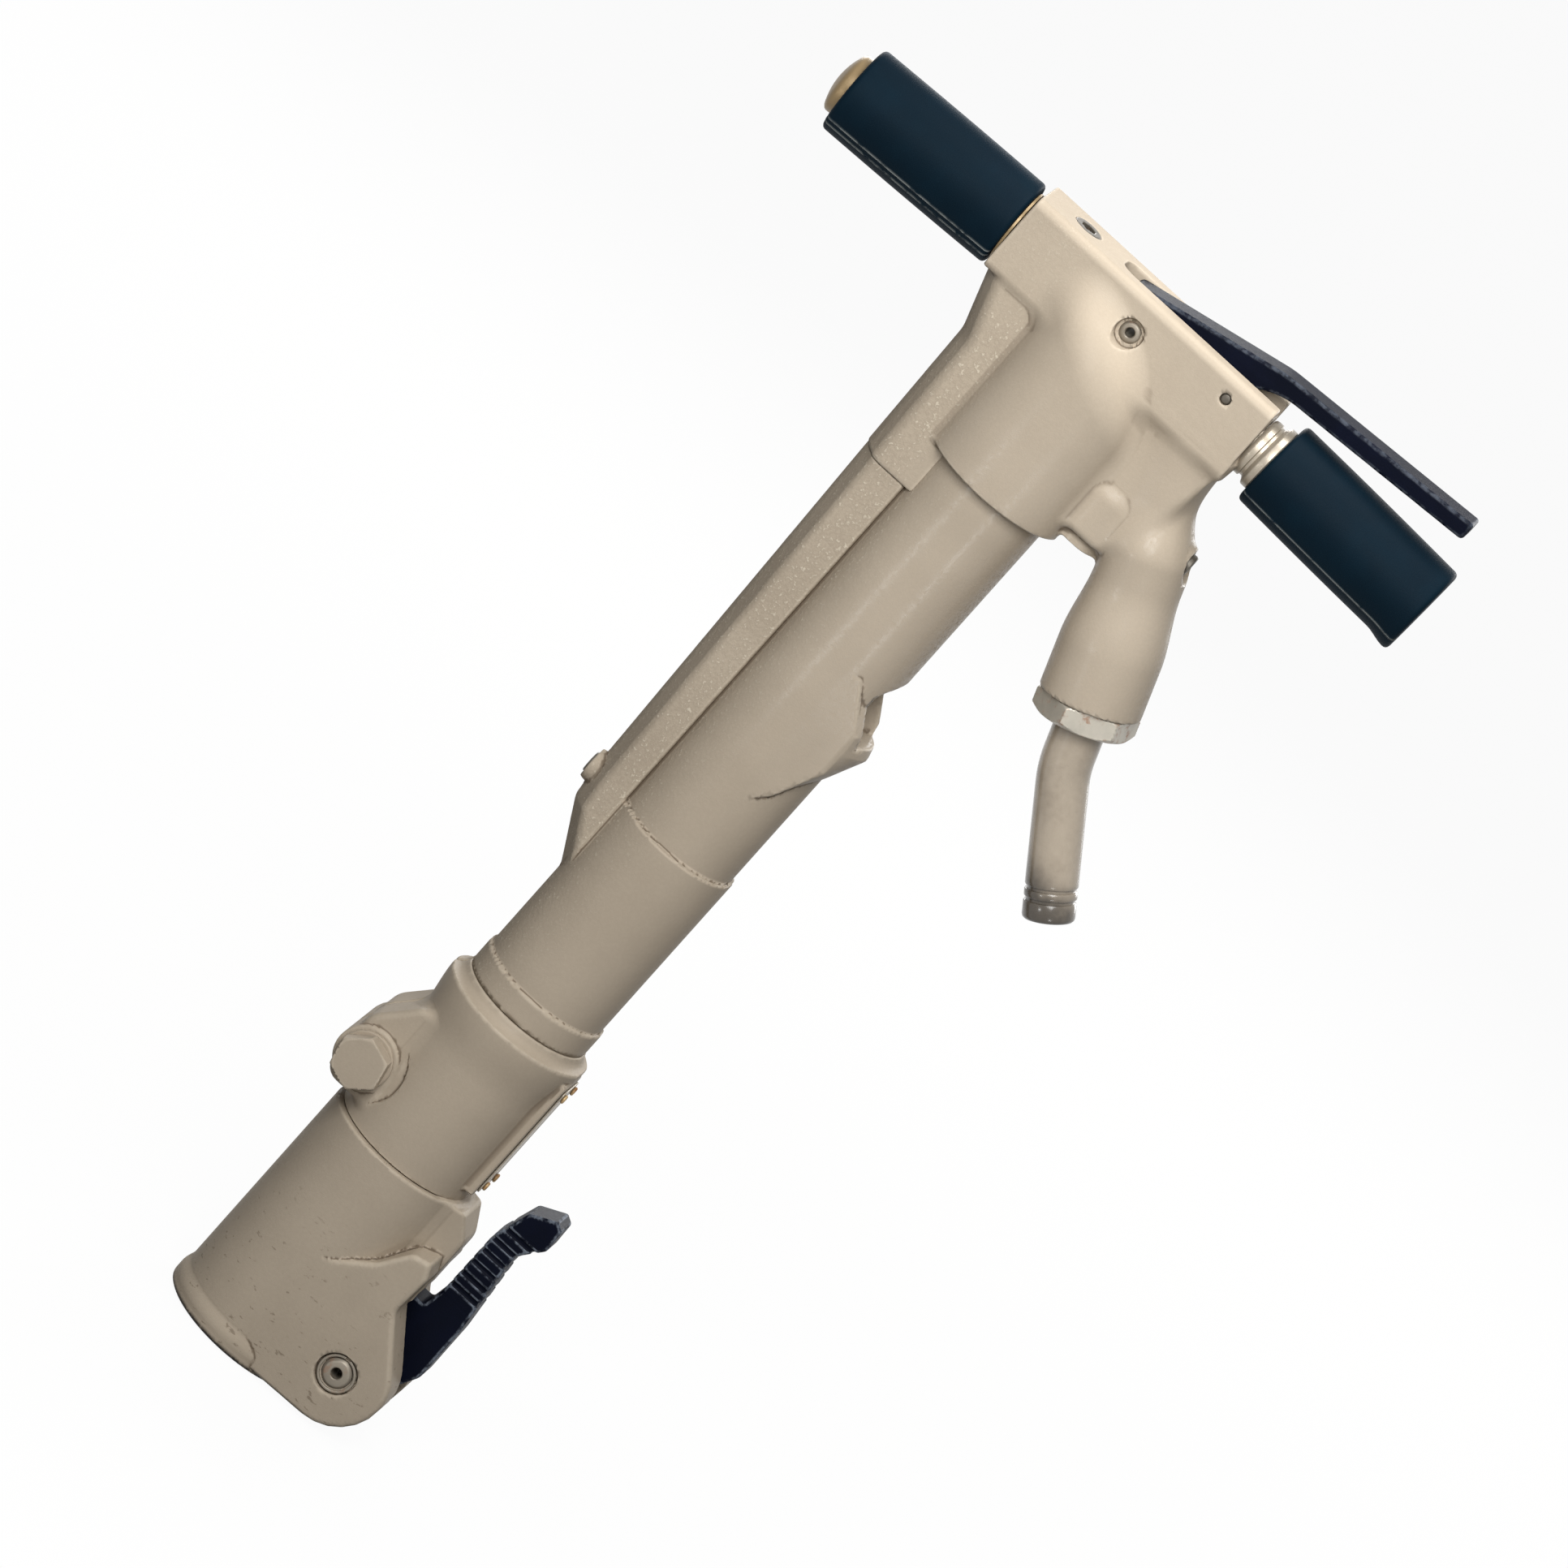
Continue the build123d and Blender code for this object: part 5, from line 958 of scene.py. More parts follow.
def fronthead_form(cast):
    """Nose with lip, cheeks round the latch, and the lug over it."""
    edge = in_mm(cast.edge_round)
    body = post(0, 43, 3.2, SEAM_Z, 0, 0.9).join(2.5, post(0, 44.9, 0.3, 14, 2.5, 7))
    body = body.join(0, post(0, 31, 100, NECK_TOP, 0, 0.8))
    x, z = LATCH_PIN[0], LATCH_PIN[2]
    outline = eased([(4.2, 2, 0), (x + 28, 2, 27.9), (x + 28, 39.3, 27.8), (53.4, 75.2, 8), (55, 98, 4),
                     (51.5, 106.5, 2), (41, 104.5, 8), (30, 88, 14), (14, 76, 8), (4.2, 73, 0)])

    def cheek_field(p):
        front = (np.abs(p[1]) - 43.18 + 0.0998 * p[0]) * 0.995
        return round_max(outline_distance(outline, p[0], p[2]), front, 1.1 * edge)
    lug = column([(0, -31, 0), (37.5, -22, 4), (55.4, -13, 3), (55.4, 13, 3), (37.5, 22, 4), (0, 31, 0)],
                 76, SEAM_Z - 0.2, 1.0)
    lug = lug.cut(1.5, half_space((46.5, 0, SEAM_Z), (-13.5, 0, -9)))
    slot_half, below = 11.4, -20
    return body.join(in_mm(cast.lug_fillet), lug).join(0, Form(cheek_field)).drilled(
        (0.8, post(0, 27.03, below, 80)),
        (0.5, cone((0, 0, 0), -ALONG_Z, 29, 1.0).within(0, post(0, 60, below, 4))),
        (0.4, post(0, 24.53, 60, 300)),
        (1.0, block((0, -slot_half, below), (120, slot_half, 71.3), 0.5)),
        (1.0, block((43.1, -slot_half, below), (120, slot_half, 84), 0.5)),
        (0, cross_bar(x, z, 8.04)),
        (0.7, *both_sides(x, z, 11.05, 35)),
        (0, post(mid("latch_plunger", "x"), 4.2 + SLIDE_ROOM, 70, 120)),
    )


def latch_form():
    """Retainer with its hub, stop and ribbed tail."""
    x, z = LATCH_PIN[0], LATCH_PIN[2]
    outline = [(43.5, 79.2, 2), (43.5, 56, 2), (21, 56, 2), (21, 45, 2), (x, 20.5, 3), (78.5, 39.5, 6), (83.4, 49, 8),
               (83.2, 80, 40), (78.4, 130, 12), (88.4, 143, 3), (87.9, 156, 2), (83.3, 158.8, 1.5), (69.6, 152, 3),
               (63, 131, 20), (62.8, 92, 10), (60.5, 79.2, 2)]
    half, rib_pitch, rib_depth = 11, 8, 0.9
    body = slab(outline, half, 1.4).join(2, cross_bar(x, z, 19, -half, half, 1.4))

    def ribbed(p):
        ribs = 0.5 + 0.5 * np.cos((p[2] - 138) * 2 * math.pi / rib_pitch)
        zone = ramp(p[2], 90, 95) * (1 - ramp(p[2], 140, 143)) * ramp(p[0], 54, 58)
        return body(p) + rib_depth * ramp(ribs, 0.62, 0.97) * zone
    return Form(ribbed).cut(0.6, cross_bar(x, z, 8 + SLIDE_ROOM / 2))


def lever_form():
    """Bent throttle lever with its hub and the foot that works the valve."""
    x, z = LEVER_PIN[0], LEVER_PIN[2]
    half, hub = 9, 9.5
    outline = [(-17, 714, 3), (72, 732, 60), (188.4, 739.1, 1.6), (188.4, 729.3, 2.4), (72, 722, 40), (60.5, 712.4, 2),
               (53, 712.4, 1), (53, 702, 1.5), (43, 702, 6), (x, z, 0), (x - hub, z + hub, 0)]
    body = slab(outline, half, 1.8, 8).join(1.5, cross_bar(x, z, hub, -half, half, 1.2))
    return body.cut(0.5, cross_bar(x, z, 5.5 + SLIDE_ROOM / 2))


def hex_fastener(start, end):
    """Chamfered hexagon between two Y levels round the clamp bolt's axis."""
    face = (math.sin(HEX_TURN), 0, math.cos(HEX_TURN))
    head = hexagon((BOLT_X, 0, BOLT_Z), ALONG_Y, face, BOLT_FLATS, start, end)
    for level, inward in ((start, ALONG_Y), (end, -ALONG_Y)):
        head = head.within(0.3, cone((BOLT_X, level, BOLT_Z), inward, BOLT_FLATS / 2 + 0.5, 1.7))
    return head


def bolt_thread(start, end):
    """Screw thread round the clamp bolt's axis."""
    def field(p):
        x, z = p[0] - BOLT_X, p[2] - BOLT_Z
        tooth = np.abs((p[1] / BOLT_PITCH - np.arctan2(z, x) / (2 * math.pi)) % 1.0 - 0.5) * 2
        around = np.hypot(x, z) - BOLT_R + 0.3 * BOLT_PITCH * (1 - tooth)
        return np.maximum(around * 0.8, beyond(p[1], start, end))
    return Form(field)


class BREAKER_OT_stage(bpy.types.Operator):
    """Builds the camera, the lights, the floor and the white backdrop"""
    bl_idname = "breaker.stage"
    bl_label = "Stage"

    def execute(self, context):
        stage = context.scene.breaker_stage
        self.camera(context, stage)
        middle, wall = Vector((0.02, 0, 0.6)), Vector((0, 0, 0.51))
        lamps = (
            ("front light", middle, self.toward(1, 30, 1.45), 0.8, stage.front_power),
            ("left strip", wall, self.toward(-22.6, -16, 1.6), 0.22, stage.strip_power),
            ("right strip", wall, self.toward(37.4, -16, 1.6), 0.22, 0.8 * stage.strip_power),
            ("handle light", middle, Vector((0, -0.06, 0.55)), 0.3, stage.top_power),
            ("left back light", wall, self.toward(-160, 15, 1.9), 0.8, stage.back_power),
            ("right back light", wall, self.toward(160, 15, 1.9), 0.8, stage.back_power),
        )
        for name, aim, away, size, power in lamps:
            self.lamp(name, aim, away, size, power)
        self.floor(stage)
        self.backdrop(context, stage)
        context.scene.view_settings.view_transform = "Standard"
        return {"FINISHED"}

    def camera(self, context, stage):
        """Long lens at the photograph's angle."""
        a, e, r = stage.azimuth, stage.elevation, stage.roll
        level = Vector((math.cos(a), math.sin(a), 0))
        rise = Vector((-math.sin(a) * math.sin(e), math.cos(a) * math.sin(e), math.cos(e)))
        right = math.sin(r) * rise + math.cos(r) * level
        up = math.cos(r) * rise - math.sin(r) * level
        back = right.cross(up)
        lens = bpy.data.cameras.new("breaker camera")
        lens.sensor_width = 36
        lens.lens = lens.sensor_width * stage.distance / stage.picture
        lens.clip_end = 100
        camera = bpy.data.objects.new("breaker camera", lens)
        turn = Matrix((right, up, back)).transposed().to_4x4()
        camera.matrix_world = Matrix.Translation(Vector(stage.aim) + stage.distance * back) @ turn
        context.scene.collection.objects.link(camera)
        context.scene.camera = camera

    def toward(self, turn, rise, distance):
        """Step from the breaker at a turn round it and a rise, both in degrees."""
        turn, rise = math.radians(turn), math.radians(rise)
        flat = distance * math.cos(rise)
        return Vector((flat * math.sin(turn), -flat * math.cos(turn), distance * math.sin(rise)))

    def lamp(self, name, aim, away, size, power):
        """Soft square light that faces the breaker from a step away."""
        light = bpy.data.lights.new(name, "AREA")
        light.shape = "SQUARE"
        light.size = size
        light.energy = power
        lamp = bpy.data.objects.new(name, light)
        lamp.matrix_world = Matrix.Translation(aim + away) @ (-away).to_track_quat("-Z", "Y").to_matrix().to_4x4()
        bpy.context.scene.collection.objects.link(lamp)

    def seen(self, start):
        """1 for rays from the camera, from gloss and through glass."""
        outputs = start.node("ShaderNodeLightPath").socket.node.outputs
        rays = [Wire(start.tree, outputs[key]) for key in ("Is Camera Ray", "Is Glossy Ray", "Is Transmission Ray")]
        return start.math("MINIMUM", rays[0] + rays[1] + rays[2], 1.0)

    def floor(self, stage):
        """Wide pale floor under the nose that keeps a soft shadow."""
        gap, segments, reach = 0.0005, 8, 6
        bm = bmesh.new()
        bmesh.ops.create_grid(bm, x_segments=segments, y_segments=segments, size=reach)
        mesh = bpy.data.meshes.new("studio floor")
        bm.to_mesh(mesh)
        bm.free()
        floor = bpy.data.objects.new("studio floor", mesh)
        floor.location.z = CAD_BOX[0][2] - gap
        bpy.context.scene.collection.objects.link(floor)
        material, coords, shader = surface("studio floor")
        tree = material.node_tree
        pale = (coords.noise(3, 2) * 0.03).fade(stage.floor, (0.8, 0.8, 0.8))
        seen = self.seen(coords)
        dress(shader, colour=seen.fade((0.1, 0.1, 0.1), pale), roughness=0.95, specular=0.0)
        glow = coords.node("ShaderNodeEmission", None, {"Color": (1, 1, 1, 1), "Strength": 1.0})
        lit = Wire(tree, shader.outputs["BSDF"])
        mixed = coords.node("ShaderNodeMixShader", None, {0: seen * 0.95, 1: lit, 2: glow})
        mixed.feed(tree.nodes["Material Output"].inputs["Surface"])
        mesh.materials.append(material)

    def backdrop(self, context, stage):
        """Grey fill light that looks white."""
        world = bpy.data.worlds.new("studio")
        world.use_nodes = True
        tree = world.node_tree
        start = Wire(tree)
        output = next(node for node in tree.nodes if node.bl_idname == "ShaderNodeOutputWorld")
        fill = start.node("ShaderNodeBackground", None, {"Color": (1, 0.99, 0.97, 1), "Strength": stage.fill})
        white = start.node("ShaderNodeBackground", None, {"Color": (1, 1, 1, 1), "Strength": 1.0})
        mixed = start.node("ShaderNodeMixShader", None, {0: self.seen(start), 1: fill, 2: white})
        mixed.feed(output.inputs["Surface"])
        context.scene.world = world


class BREAKER_OT_castings(bpy.types.Operator):
    """Builds the four cast bodies: backhead, cylinder, clamp sleeve and fronthead"""
    bl_idname = "breaker.castings"
    bl_label = "Castings"

    def execute(self, context):
        cast = context.scene.breaker_casting
        step = in_mm(cast.mesh_step)
        makers = {
            "backhead": (backhead_form, 1.0, lambda p: ramp(-p[0], 26, 44) * (1 - 0.8 * ramp(p[2], 640, 680)) + 0.12),
            "cylinder": (cylinder_form, 1.3, lambda p: 0.75 * ramp(-p[0], 18, 34) + 0.30 * ramp(-p[0], -4, 16) + 0.06),
            "clamp_sleeve": (sleeve_form, 1.0, lambda p: 0.1 + 0 * p[0]),
            "fronthead": (fronthead_form, 1.0, lambda p: 0.2 * ramp(-p[0], 0, 30) + 0.05),
        }
        for node, (form, share, coarse) in makers.items():
            mesh = field_mesh(f"{node}_casting", form(cast), *SPAN[node], share * step, coarse)
            piece(mesh, node, "casting paint")
        return {"FINISHED"}


class BREAKER_OT_controls(bpy.types.Operator):
    """Builds the throttle lever and the chisel latch"""
    bl_idname = "breaker.controls"
    bl_label = "Lever and latch"

    def execute(self, context):
        step = fine_step(1.3)
        for node, name, form in (("throttle_lever", "throttle_lever_bar", lever_form()),
                                 ("latch", "latch_retainer", latch_form())):
            piece(field_mesh(name, form, *SPAN[node], step), node, "dark steel", node)
        return {"FINISHED"}


class BREAKER_OT_handles(bpy.types.Operator):
    """Builds both handle bars and their rubber grips"""
    bl_idname = "breaker.handles"
    bl_label = "Handles"

    def execute(self, context):
        grip = context.scene.breaker_grip
        left_axis, right_axis = straight(ARM_HUB, LEFT_ARM), straight(ARM_HUB, RIGHT_ARM)
        left_bar = [(190 - 3.2 * (r / 15.2) ** 2, r) for r in np.linspace(0, 15.2, 9)]
        left_bar += [(185.6, 16.6), (184.6, 17), (181.4, 17), (181.1, 16.6), (181.1, ARM_R), (77, ARM_R), (77, 19.6),
                     (76.7, 20), (75.5, 20), (75.5, 12), (46, 12), (45.2, 11.2), (45.2, 0)]
        right_bar = [(68.3, 0), (68.3, 11.2), (69, 12), (81.3, 12), (81.3, 15.2), (82.2, 16.2), (83.6, 16.5),
                     (86, 16.5), (86.6, 15.4), (88, 15.4), (88.8, 16.4), (89.6, 18), (90.4, 18.5), (93.4, 18.5),
                     (94, 18), (94, ARM_R), (191.6, ARM_R), (191.6, 0)]
        piece(turned_mesh("left_handle_end", left_bar, left_axis), "left_handle_bar", "brass")
        piece(turned_mesh("right_handle_neck", right_bar, right_axis), "right_handle_bar", "turned steel")
        self.grip(grip, "left_grip", left_axis, 77.1, 181, False)
        self.grip(grip, "right_grip", right_axis, 94.1, 198, True)
        return {"FINISHED"}

    def grip(self, grip, node, axis, start, end, closed):
        """Moulded sleeve with its moulding lines, and a lip under the right one."""
        radius, flash, lip = in_mm(grip.radius), in_mm(grip.flash), in_mm(grip.lip)
        bore = ARM_R + 0.02
        lines = [math.radians(angle) for angle in ((41,) if closed else (36, 46))]
        toward = 1 if closed else -1

        def below(turns):
            return np.mod((turns - math.pi) * toward + math.pi, 2 * math.pi) - math.pi

        def ridge(turns):
            return sum(np.exp(-((below(turns) - line) / 0.02) ** 2) for line in lines)

        def shape(run, ring, turns):
            if ring < radius - 3:
                return 0 * turns
            swell = 0.3 * math.sin(math.pi * (run - start) / (end - start))
            hang = np.maximum(0, np.sin(below(turns))) ** 1.5 * lip * float(ramp(np.array(run), end - 15, end - 3))
            return flash * ridge(turns) + swell + (hang if closed else 0)
        rim = [(0.0, 2.6), (0.3, 1.4), (1.0, 0.5), (2.0, 0.08)]
        outline = [(start + inset, radius - drop) for inset, drop in rim]
        outline += [(run, radius) for run in np.linspace(start + 3, end - 3, 40)]
        outline += [(end - inset, radius - drop) for inset, drop in rim[::-1]]
        if closed:
            outline += [(end, radius - 6), (end - 0.4, 12), (end - 0.6, 6), (end - 0.6, 0), (end - 6, 0),
                        (end - 6, bore), (start, bore)]
        else:
            outline += [(end, 17.6), (end - 0.2, 17.2), (end - 0.3, bore), (start, bore)]
        mesh = turned_mesh(f"{node}_sleeve", outline, axis, 240, shape)
        hub, side, other = axis(0.0)
        out = np.array([vert.co for vert in mesh.vertices]) / MM - hub
        keep(mesh, "flash", ridge(np.arctan2(out @ other, out @ side)))
        piece(mesh, node, "grip rubber")


class BREAKER_OT_inlet(bpy.types.Operator):
    """Builds the inlet nut and the bent swivel tube"""
    bl_idname = "breaker.inlet"
    bl_label = "Air inlet"

    def execute(self, context):
        step = fine_step(1.15)
        face = math.sin(NUT_TURN) * LEG_SIDE - math.cos(NUT_TURN) * ALONG_Y
        thick, room = 12, 2
        nut = hexagon(INLET, LEG_DOWN, face, 47, 0.05, thick)
        nut = nut.within(0.5, cone(INLET + LEG_DOWN * thick, -LEG_DOWN, 23.2, 1.3), cone(INLET, LEG_DOWN, 25.4, 1.6))
        nut = nut.join(0, bar(INLET, LEG_DOWN, 19.5, -14, 4, 0.5)).cut(0.8, bar(INLET, LEG_DOWN, 13.9, -40, 40))
        corner, far = SPAN["inlet_nut"]
        mesh = field_mesh("inlet_hexagon_nut", nut, corner - room, far + room, step)
        piece(mesh, "inlet_nut", "zinc plating")
        self.tube()
        return {"FINISHED"}

    def tube(self):
        """Drawn tube with its flange, bend, end grooves and rounded mouth."""
        straight_run, bend_r, bend, tail = 27.6, 60.0, math.radians(15.4), 69.0
        outside, inside, flange, top = 13.335, 10.335, 17.4, -23.4
        arc_end = straight_run + bend_r * bend
        end = arc_end + tail

        def axis(run):
            turn = min(max((run - straight_run) / bend_r, 0.0), bend)
            down = math.cos(turn) * LEG_DOWN + math.sin(turn) * LEG_SIDE
            place = INLET + LEG_DOWN * min(run, straight_run)
            if run > straight_run:
                place = place + bend_r * ((1 - math.cos(turn)) * LEG_SIDE + math.sin(turn) * LEG_DOWN)
            return place + down * max(run - arc_end, 0.0), ALONG_Y, np.cross(down, ALONG_Y)
        outline = [(top, inside), (top, flange - 0.6), (top + 0.6, flange), (top + 5.4, flange),
                   (top + 6, flange - 0.6), (top + 6, outside)]
        outline += [(run, outside) for run in np.linspace(top + 9, end - 20, 46)]
        half_groove = [(1.5, 0), (1.0, 0.3), (0.8, 1.2)]
        for groove in (end - 16.5, end - 10.7):
            outline += [(groove - run, outside - depth) for run, depth in half_groove]
            outline += [(groove + run, outside - depth) for run, depth in half_groove[::-1]]
        outline += [(end - 2.4, outside), (end - 1.2, outside - 0.35), (end - 0.35, outside - 1.2),
                    (end, inside + 0.5), (end - 0.5, inside)]
        outline += [(run, inside) for run in np.linspace(end - 4, top + 4, 40)]
        mesh = turned_mesh("inlet_swivel_tube", outline, axis)
        piece(mesh, "swivel_tube", "tube paint", "swivel")


class BREAKER_OT_clamp(bpy.types.Operator):
    """Builds the clamp bolt, its nut and both washers"""
    bl_idname = "breaker.clamp"
    bl_label = "Clamp bolt"

    def execute(self, context):
        step = fine_step()
        head_low, bolt_end = low("clamp_bolt", "y"), high("clamp_bolt", "y")
        thread = bolt_thread(bolt_end - 24, bolt_end).within(0, cone((BOLT_X, bolt_end, BOLT_Z), -ALONG_Y, 6.8, 1.2))
        bolt = hex_fastener(head_low + 0.005, head_low + 9.945)
        bolt = bolt.join(0.8, cross_bar(BOLT_X, BOLT_Z, BOLT_R, head_low + 5, bolt_end - 22, 0.2)).join(0, thread)
        nut = hex_fastener(low("clamp_nut", "y"), high("clamp_nut", "y"))
        nut = nut.cut(0.6, cross_bar(BOLT_X, BOLT_Z, BOLT_R + 0.03))
        room = np.array((2, 0, 2))
        for node, name, form in (("clamp_bolt", "clamp_hexagon_bolt", bolt), ("clamp_nut", "clamp_hexagon_nut", nut)):
            corner, far = SPAN[node]
            mesh = field_mesh(name, form, corner - room, far + room, step)
            piece(mesh, node, "fastener paint")
        axis = straight((BOLT_X, 0, BOLT_Z), ALONG_Y)
        for name, out in SIDES:
            start, end = sorted((out * 31.05, out * 33.95))
            ring = [(start, 9), (start, 14.4), (start + 0.6, 15), (end - 0.6, 15), (end, 14.4), (end, 9)]
            mesh = turned_mesh(f"clamp_washer_{name}", ring, axis, 64)
            piece(mesh, "clamp_washers", "fastener paint")
        return {"FINISHED"}


class BREAKER_OT_plate(bpy.types.Operator):
    """Builds the bare plate on the clamp sleeve and its screws"""
    bl_idname = "breaker.plate"
    bl_label = "Plate and screws"

    def execute(self, context):
        corner, far = SPAN["nameplate"]
        back, face = corner[0], far[0]
        middle_y, middle_z = mid("nameplate", "y"), mid("nameplate", "z")
        half_y, half_z = (far[1] - corner[1]) / 2, (far[2] - corner[2]) / 2
        outline = eased([(-half_y, -half_z, 3), (half_y, -half_z, 3), (half_y, half_z, 3), (-half_y, half_z, 3)])

        def field(p):
            y, z = p[1] - middle_y, p[2] - middle_z
            dish = 0.25 * (1 - ramp(outline_distance(0.86 * outline, y, z), -1.2, 0.0))
            return round_max(outline_distance(outline, y, z), beyond(p[0], back, face - dish), 0.35)
        plate = Form(field).cut(0, *(bar((back, y, z), ALONG_X, 1.65, -5, 5) for y, z in SCREWS))
        mesh = field_mesh("bare_plate", plate, corner, far, fine_step(0.75))
        piece(mesh, "nameplate", "plate aluminium")
        room, shank, rise = 2.7, 7, 1.9
        for i, (y, z) in enumerate(SCREWS):
            head = (face, y, z)
            screw = bar(head, ALONG_X, 2.6, 0.02, 1.8, 0.9).join(0, bar(head, ALONG_X, 1.5, -shank, 1))
            screw = screw.cut(0, block((face + 1.0, y - 0.35, z - 5), (face + 5, y + 0.35, z + 5)))
            spots = (face - shank, y - room, z - room), (face + rise, y + room, z + room)
            piece(field_mesh(f"plate_screw_{i + 1}", screw, *spots, 0.26), "nameplate_screws", "screw steel")
        return {"FINISHED"}


class BREAKER_OT_pins(bpy.types.Operator):
    """Builds the lever pin, the stop pin, the latch pin and its split rings"""
    bl_idname = "breaker.pins"
    bl_label = "Pins"

    def execute(self, context):
        self.hollow_pin("lever_pin", LEVER_PIN, 5.5, 2.5, 0.8)
        self.hollow_pin("latch_pin", LATCH_PIN, 8.0, 3.0, 1.5)
        end = high("lever_stop_pin", "y")
        half = [(end, 0), (end, 1.9), (end - 0.3, 2.6), (end - 0.9, 3)]
        outline = [(-run, r) for run, r in half] + half[::-1]
        axis = straight((mid("lever_stop_pin", "x"), 0, mid("lever_stop_pin", "z")), ALONG_Y)
        piece(turned_mesh("lever_stop_dowel", outline, axis, 32), "lever_stop_pin", "oiled steel")
        self.split_rings()
        return {"FINISHED"}

    def hollow_pin(self, node, place, radius, bore, chamfer):
        """Pin along Y with a bore and chamfered ends."""
        end = high(node, "y")
        soft = 0.25
        half = [(end - chamfer, radius), (end - soft, radius - chamfer + soft), (end, radius - chamfer - soft),
                (end, bore + 2 * soft), (end - 2 * soft, bore)]
        outline = [(-run, r) for run, r in half[::-1]] + half
        mesh = turned_mesh(f"{node}_tube", outline, straight(place * (1, 0, 1), ALONG_Y), 48)
        piece(mesh, node, "pin steel")

    def split_rings(self):
        """Round wire rings round both ends of the latch pin, open at one side."""
        x, z = LATCH_PIN[0], LATCH_PIN[2]
        outer_y, thick, room = high("latch_pin_rings", "y"), 1.5, 11.5
        for name, out in SIDES:
            start, end = sorted((out * outer_y, out * (outer_y - thick)))

            def field(p, level=(start + end) / 2):
                around = np.abs(np.hypot(p[0] - x, p[2] - z) - 9.5)
                ring = np.hypot(np.maximum(around - 0.2, 0), np.maximum(np.abs(p[1] - level) - 0.1, 0)) - 0.62
                gap = np.maximum(np.abs(p[0] - x) - 1.5, z - p[2])
                return np.maximum(ring, -gap)
            spots = (x - room, start, z - room), (x + room, end, z + room)
            mesh = field_mesh(f"latch_pin_ring_{name}", Form(field), *spots, 0.4)
            piece(mesh, "latch_pin_rings", "pin steel")


class BREAKER_OT_plugs(bpy.types.Operator):
    """Builds the oil plug, the inlet plug and the duct plug with their sockets"""
    bl_idname = "breaker.plugs"
    bl_label = "Plugs"

    def execute(self, context):
        step, socket = fine_step(0.7), 4.0
        duct_low, duct_high = low("duct_plug", "x"), high("duct_plug", "x")
        inlet_x, inlet_z = high("inlet_oil_plug", "x"), mid("inlet_oil_plug", "z")
        plugs = (
            ("oil_plug", (mid("oil_plug", "x"), 0, high("oil_plug", "z")), ALONG_Z, ALONG_X, 8.0, 7.4),
            ("duct_plug", (duct_low, 0, mid("duct_plug", "z")), -ALONG_X, ALONG_Y, 6.0, duct_high - duct_low),
            ("inlet_oil_plug", (inlet_x, 0, inlet_z), ALONG_X, ALONG_Y, 6.0, 10.8),
        )
        for node, top, out, side, radius, depth in plugs:
            body = bar(top, out, radius, -depth, 0, 0.7).cut(0.25, hexagon(top, out, side, radius, -socket, 5))
            piece(field_mesh(f"{node}_screw", body, *SPAN[node], step), node, "oiled steel")
        return {"FINISHED"}


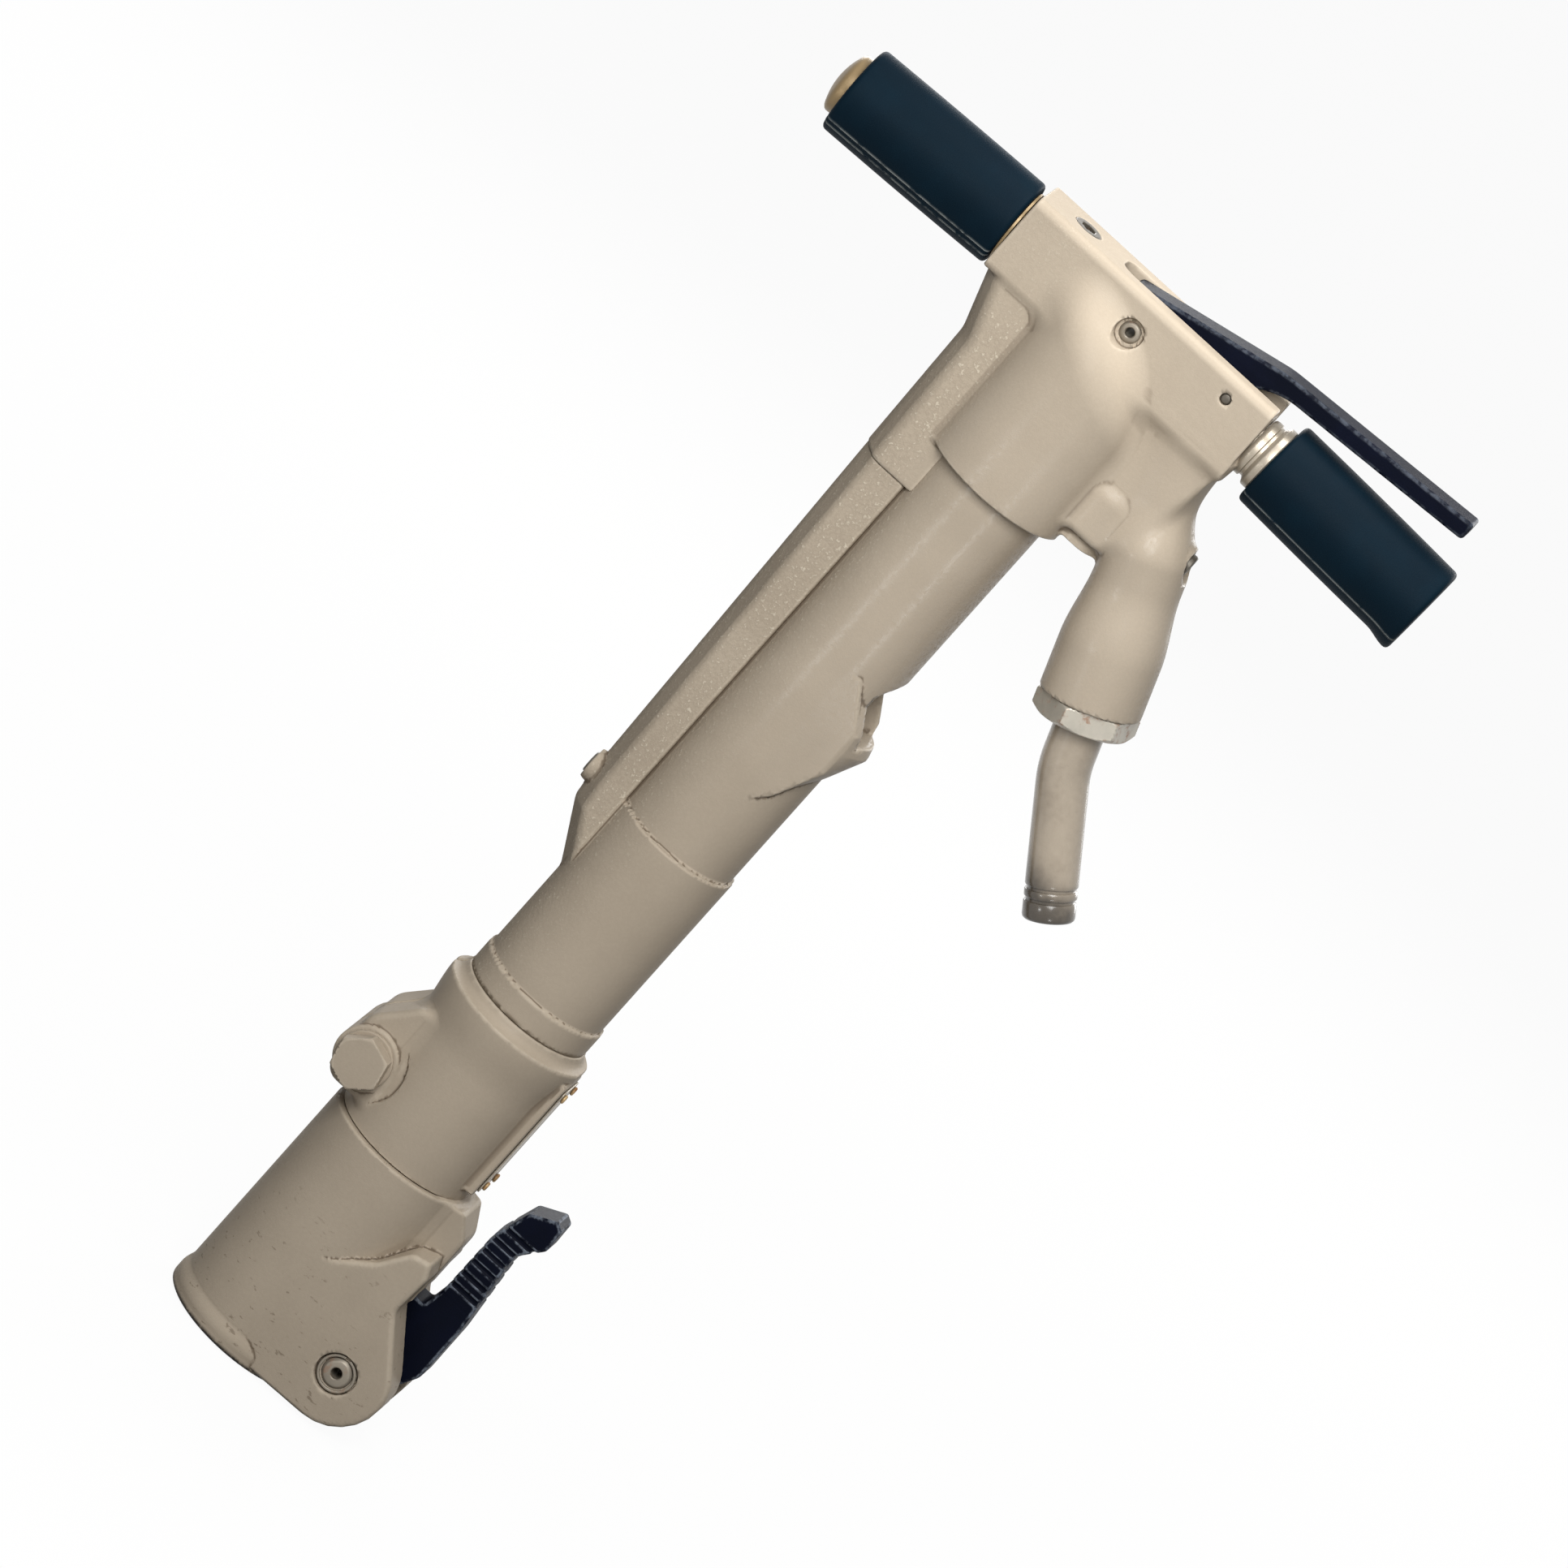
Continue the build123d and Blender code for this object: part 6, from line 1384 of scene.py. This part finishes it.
class BREAKER_OT_springs(bpy.types.Operator):
    """Builds the throttle spring and the latch spring"""
    bl_idname = "breaker.springs"
    bl_label = "Springs"

    def execute(self, context):
        self.spring("throttle_spring", "valve_lift", low("throttle_spring", "z"), 7.1, 1.4, 6)
        self.spring("latch_spring", "plunger_slide", high("latch_spring", "z"), 3.2, 1.0, 5)
        return {"FINISHED"}

    def spring(self, node, joint, fixed_end, radius, wire, turns):
        """Coil in place of a spring's node."""
        bottom, top = low(node, "z"), high(node, "z")
        travel = max(abs(limit) for limit in JOINTS[joint]["range_m"]) / MM
        x = mid(node, "x")
        mesh = coil_mesh(f"{node}_coil", x, bottom, top, radius, wire, turns)
        made = piece(mesh, node, "oiled steel")
        x * MM
        fixed_end * MM
        1 - travel / (top - bottom)
        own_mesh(made)


class BREAKER_OT_inner_parts(bpy.types.Operator):
    """Gives the inner parts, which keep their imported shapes, their finishes"""
    bl_idname = "breaker.inner_parts"
    bl_label = "Inner parts"

    def execute(self, context):
        finishes = {
            "brass": ("inlet_strainer", "throttle_seat"),
            "seal rubber": ("front_buffer", "swivel_seal", "valve_gasket"),
        }
        by_node = {node: name for name, nodes in finishes.items() for node in nodes}
        for node, packed in frame["nodes"].items():
            if packed.hide_render:
                continue
            packed.data.materials.clear()
            packed.data.materials.append(finish(by_node.get(node, "oiled steel")))
        return {"FINISHED"}


class BREAKER_PT_panel(bpy.types.Panel):
    """Lists the breaker's pieces and settings"""
    bl_idname = "BREAKER_PT_panel"
    bl_label = "Pavement breaker"
    bl_space_type = "VIEW_3D"
    bl_region_type = "UI"
    bl_category = "Breaker"

    def draw(self, context):
        for operator in OPERATORS:
            self.layout.operator(operator.bl_idname)
        for name, settings in SETTINGS.items():
            box = self.layout.box()
            for prop in settings.__annotations__:
                box.prop(getattr(context.scene, name), prop)


OPERATORS = (
    BREAKER_OT_stage, BREAKER_OT_castings, BREAKER_OT_controls, BREAKER_OT_handles, BREAKER_OT_inlet, BREAKER_OT_clamp,
    BREAKER_OT_plate, BREAKER_OT_pins, BREAKER_OT_plugs, BREAKER_OT_springs, BREAKER_OT_inner_parts,
)
CLASSES = (*SETTINGS.values(), *OPERATORS, BREAKER_PT_panel)


def register():
    """Registers the classes and puts the settings on the scene."""
    for cls in CLASSES:
        bpy.utils.register_class(cls)
    for name, settings in SETTINGS.items():
        setattr(bpy.types.Scene, name, bpy.props.PointerProperty(type=settings))


def unregister():
    """Takes the settings and classes away again."""
    for name in SETTINGS:
        delattr(bpy.types.Scene, name)
    for cls in reversed(CLASSES):
        bpy.utils.unregister_class(cls)


def main():
    """Builds every piece in order."""
    register()
    for operator in OPERATORS:
        group, action = operator.bl_idname.split(".")
        getattr(getattr(bpy.ops, group), action)()


if __name__ == "__main__":
    main()
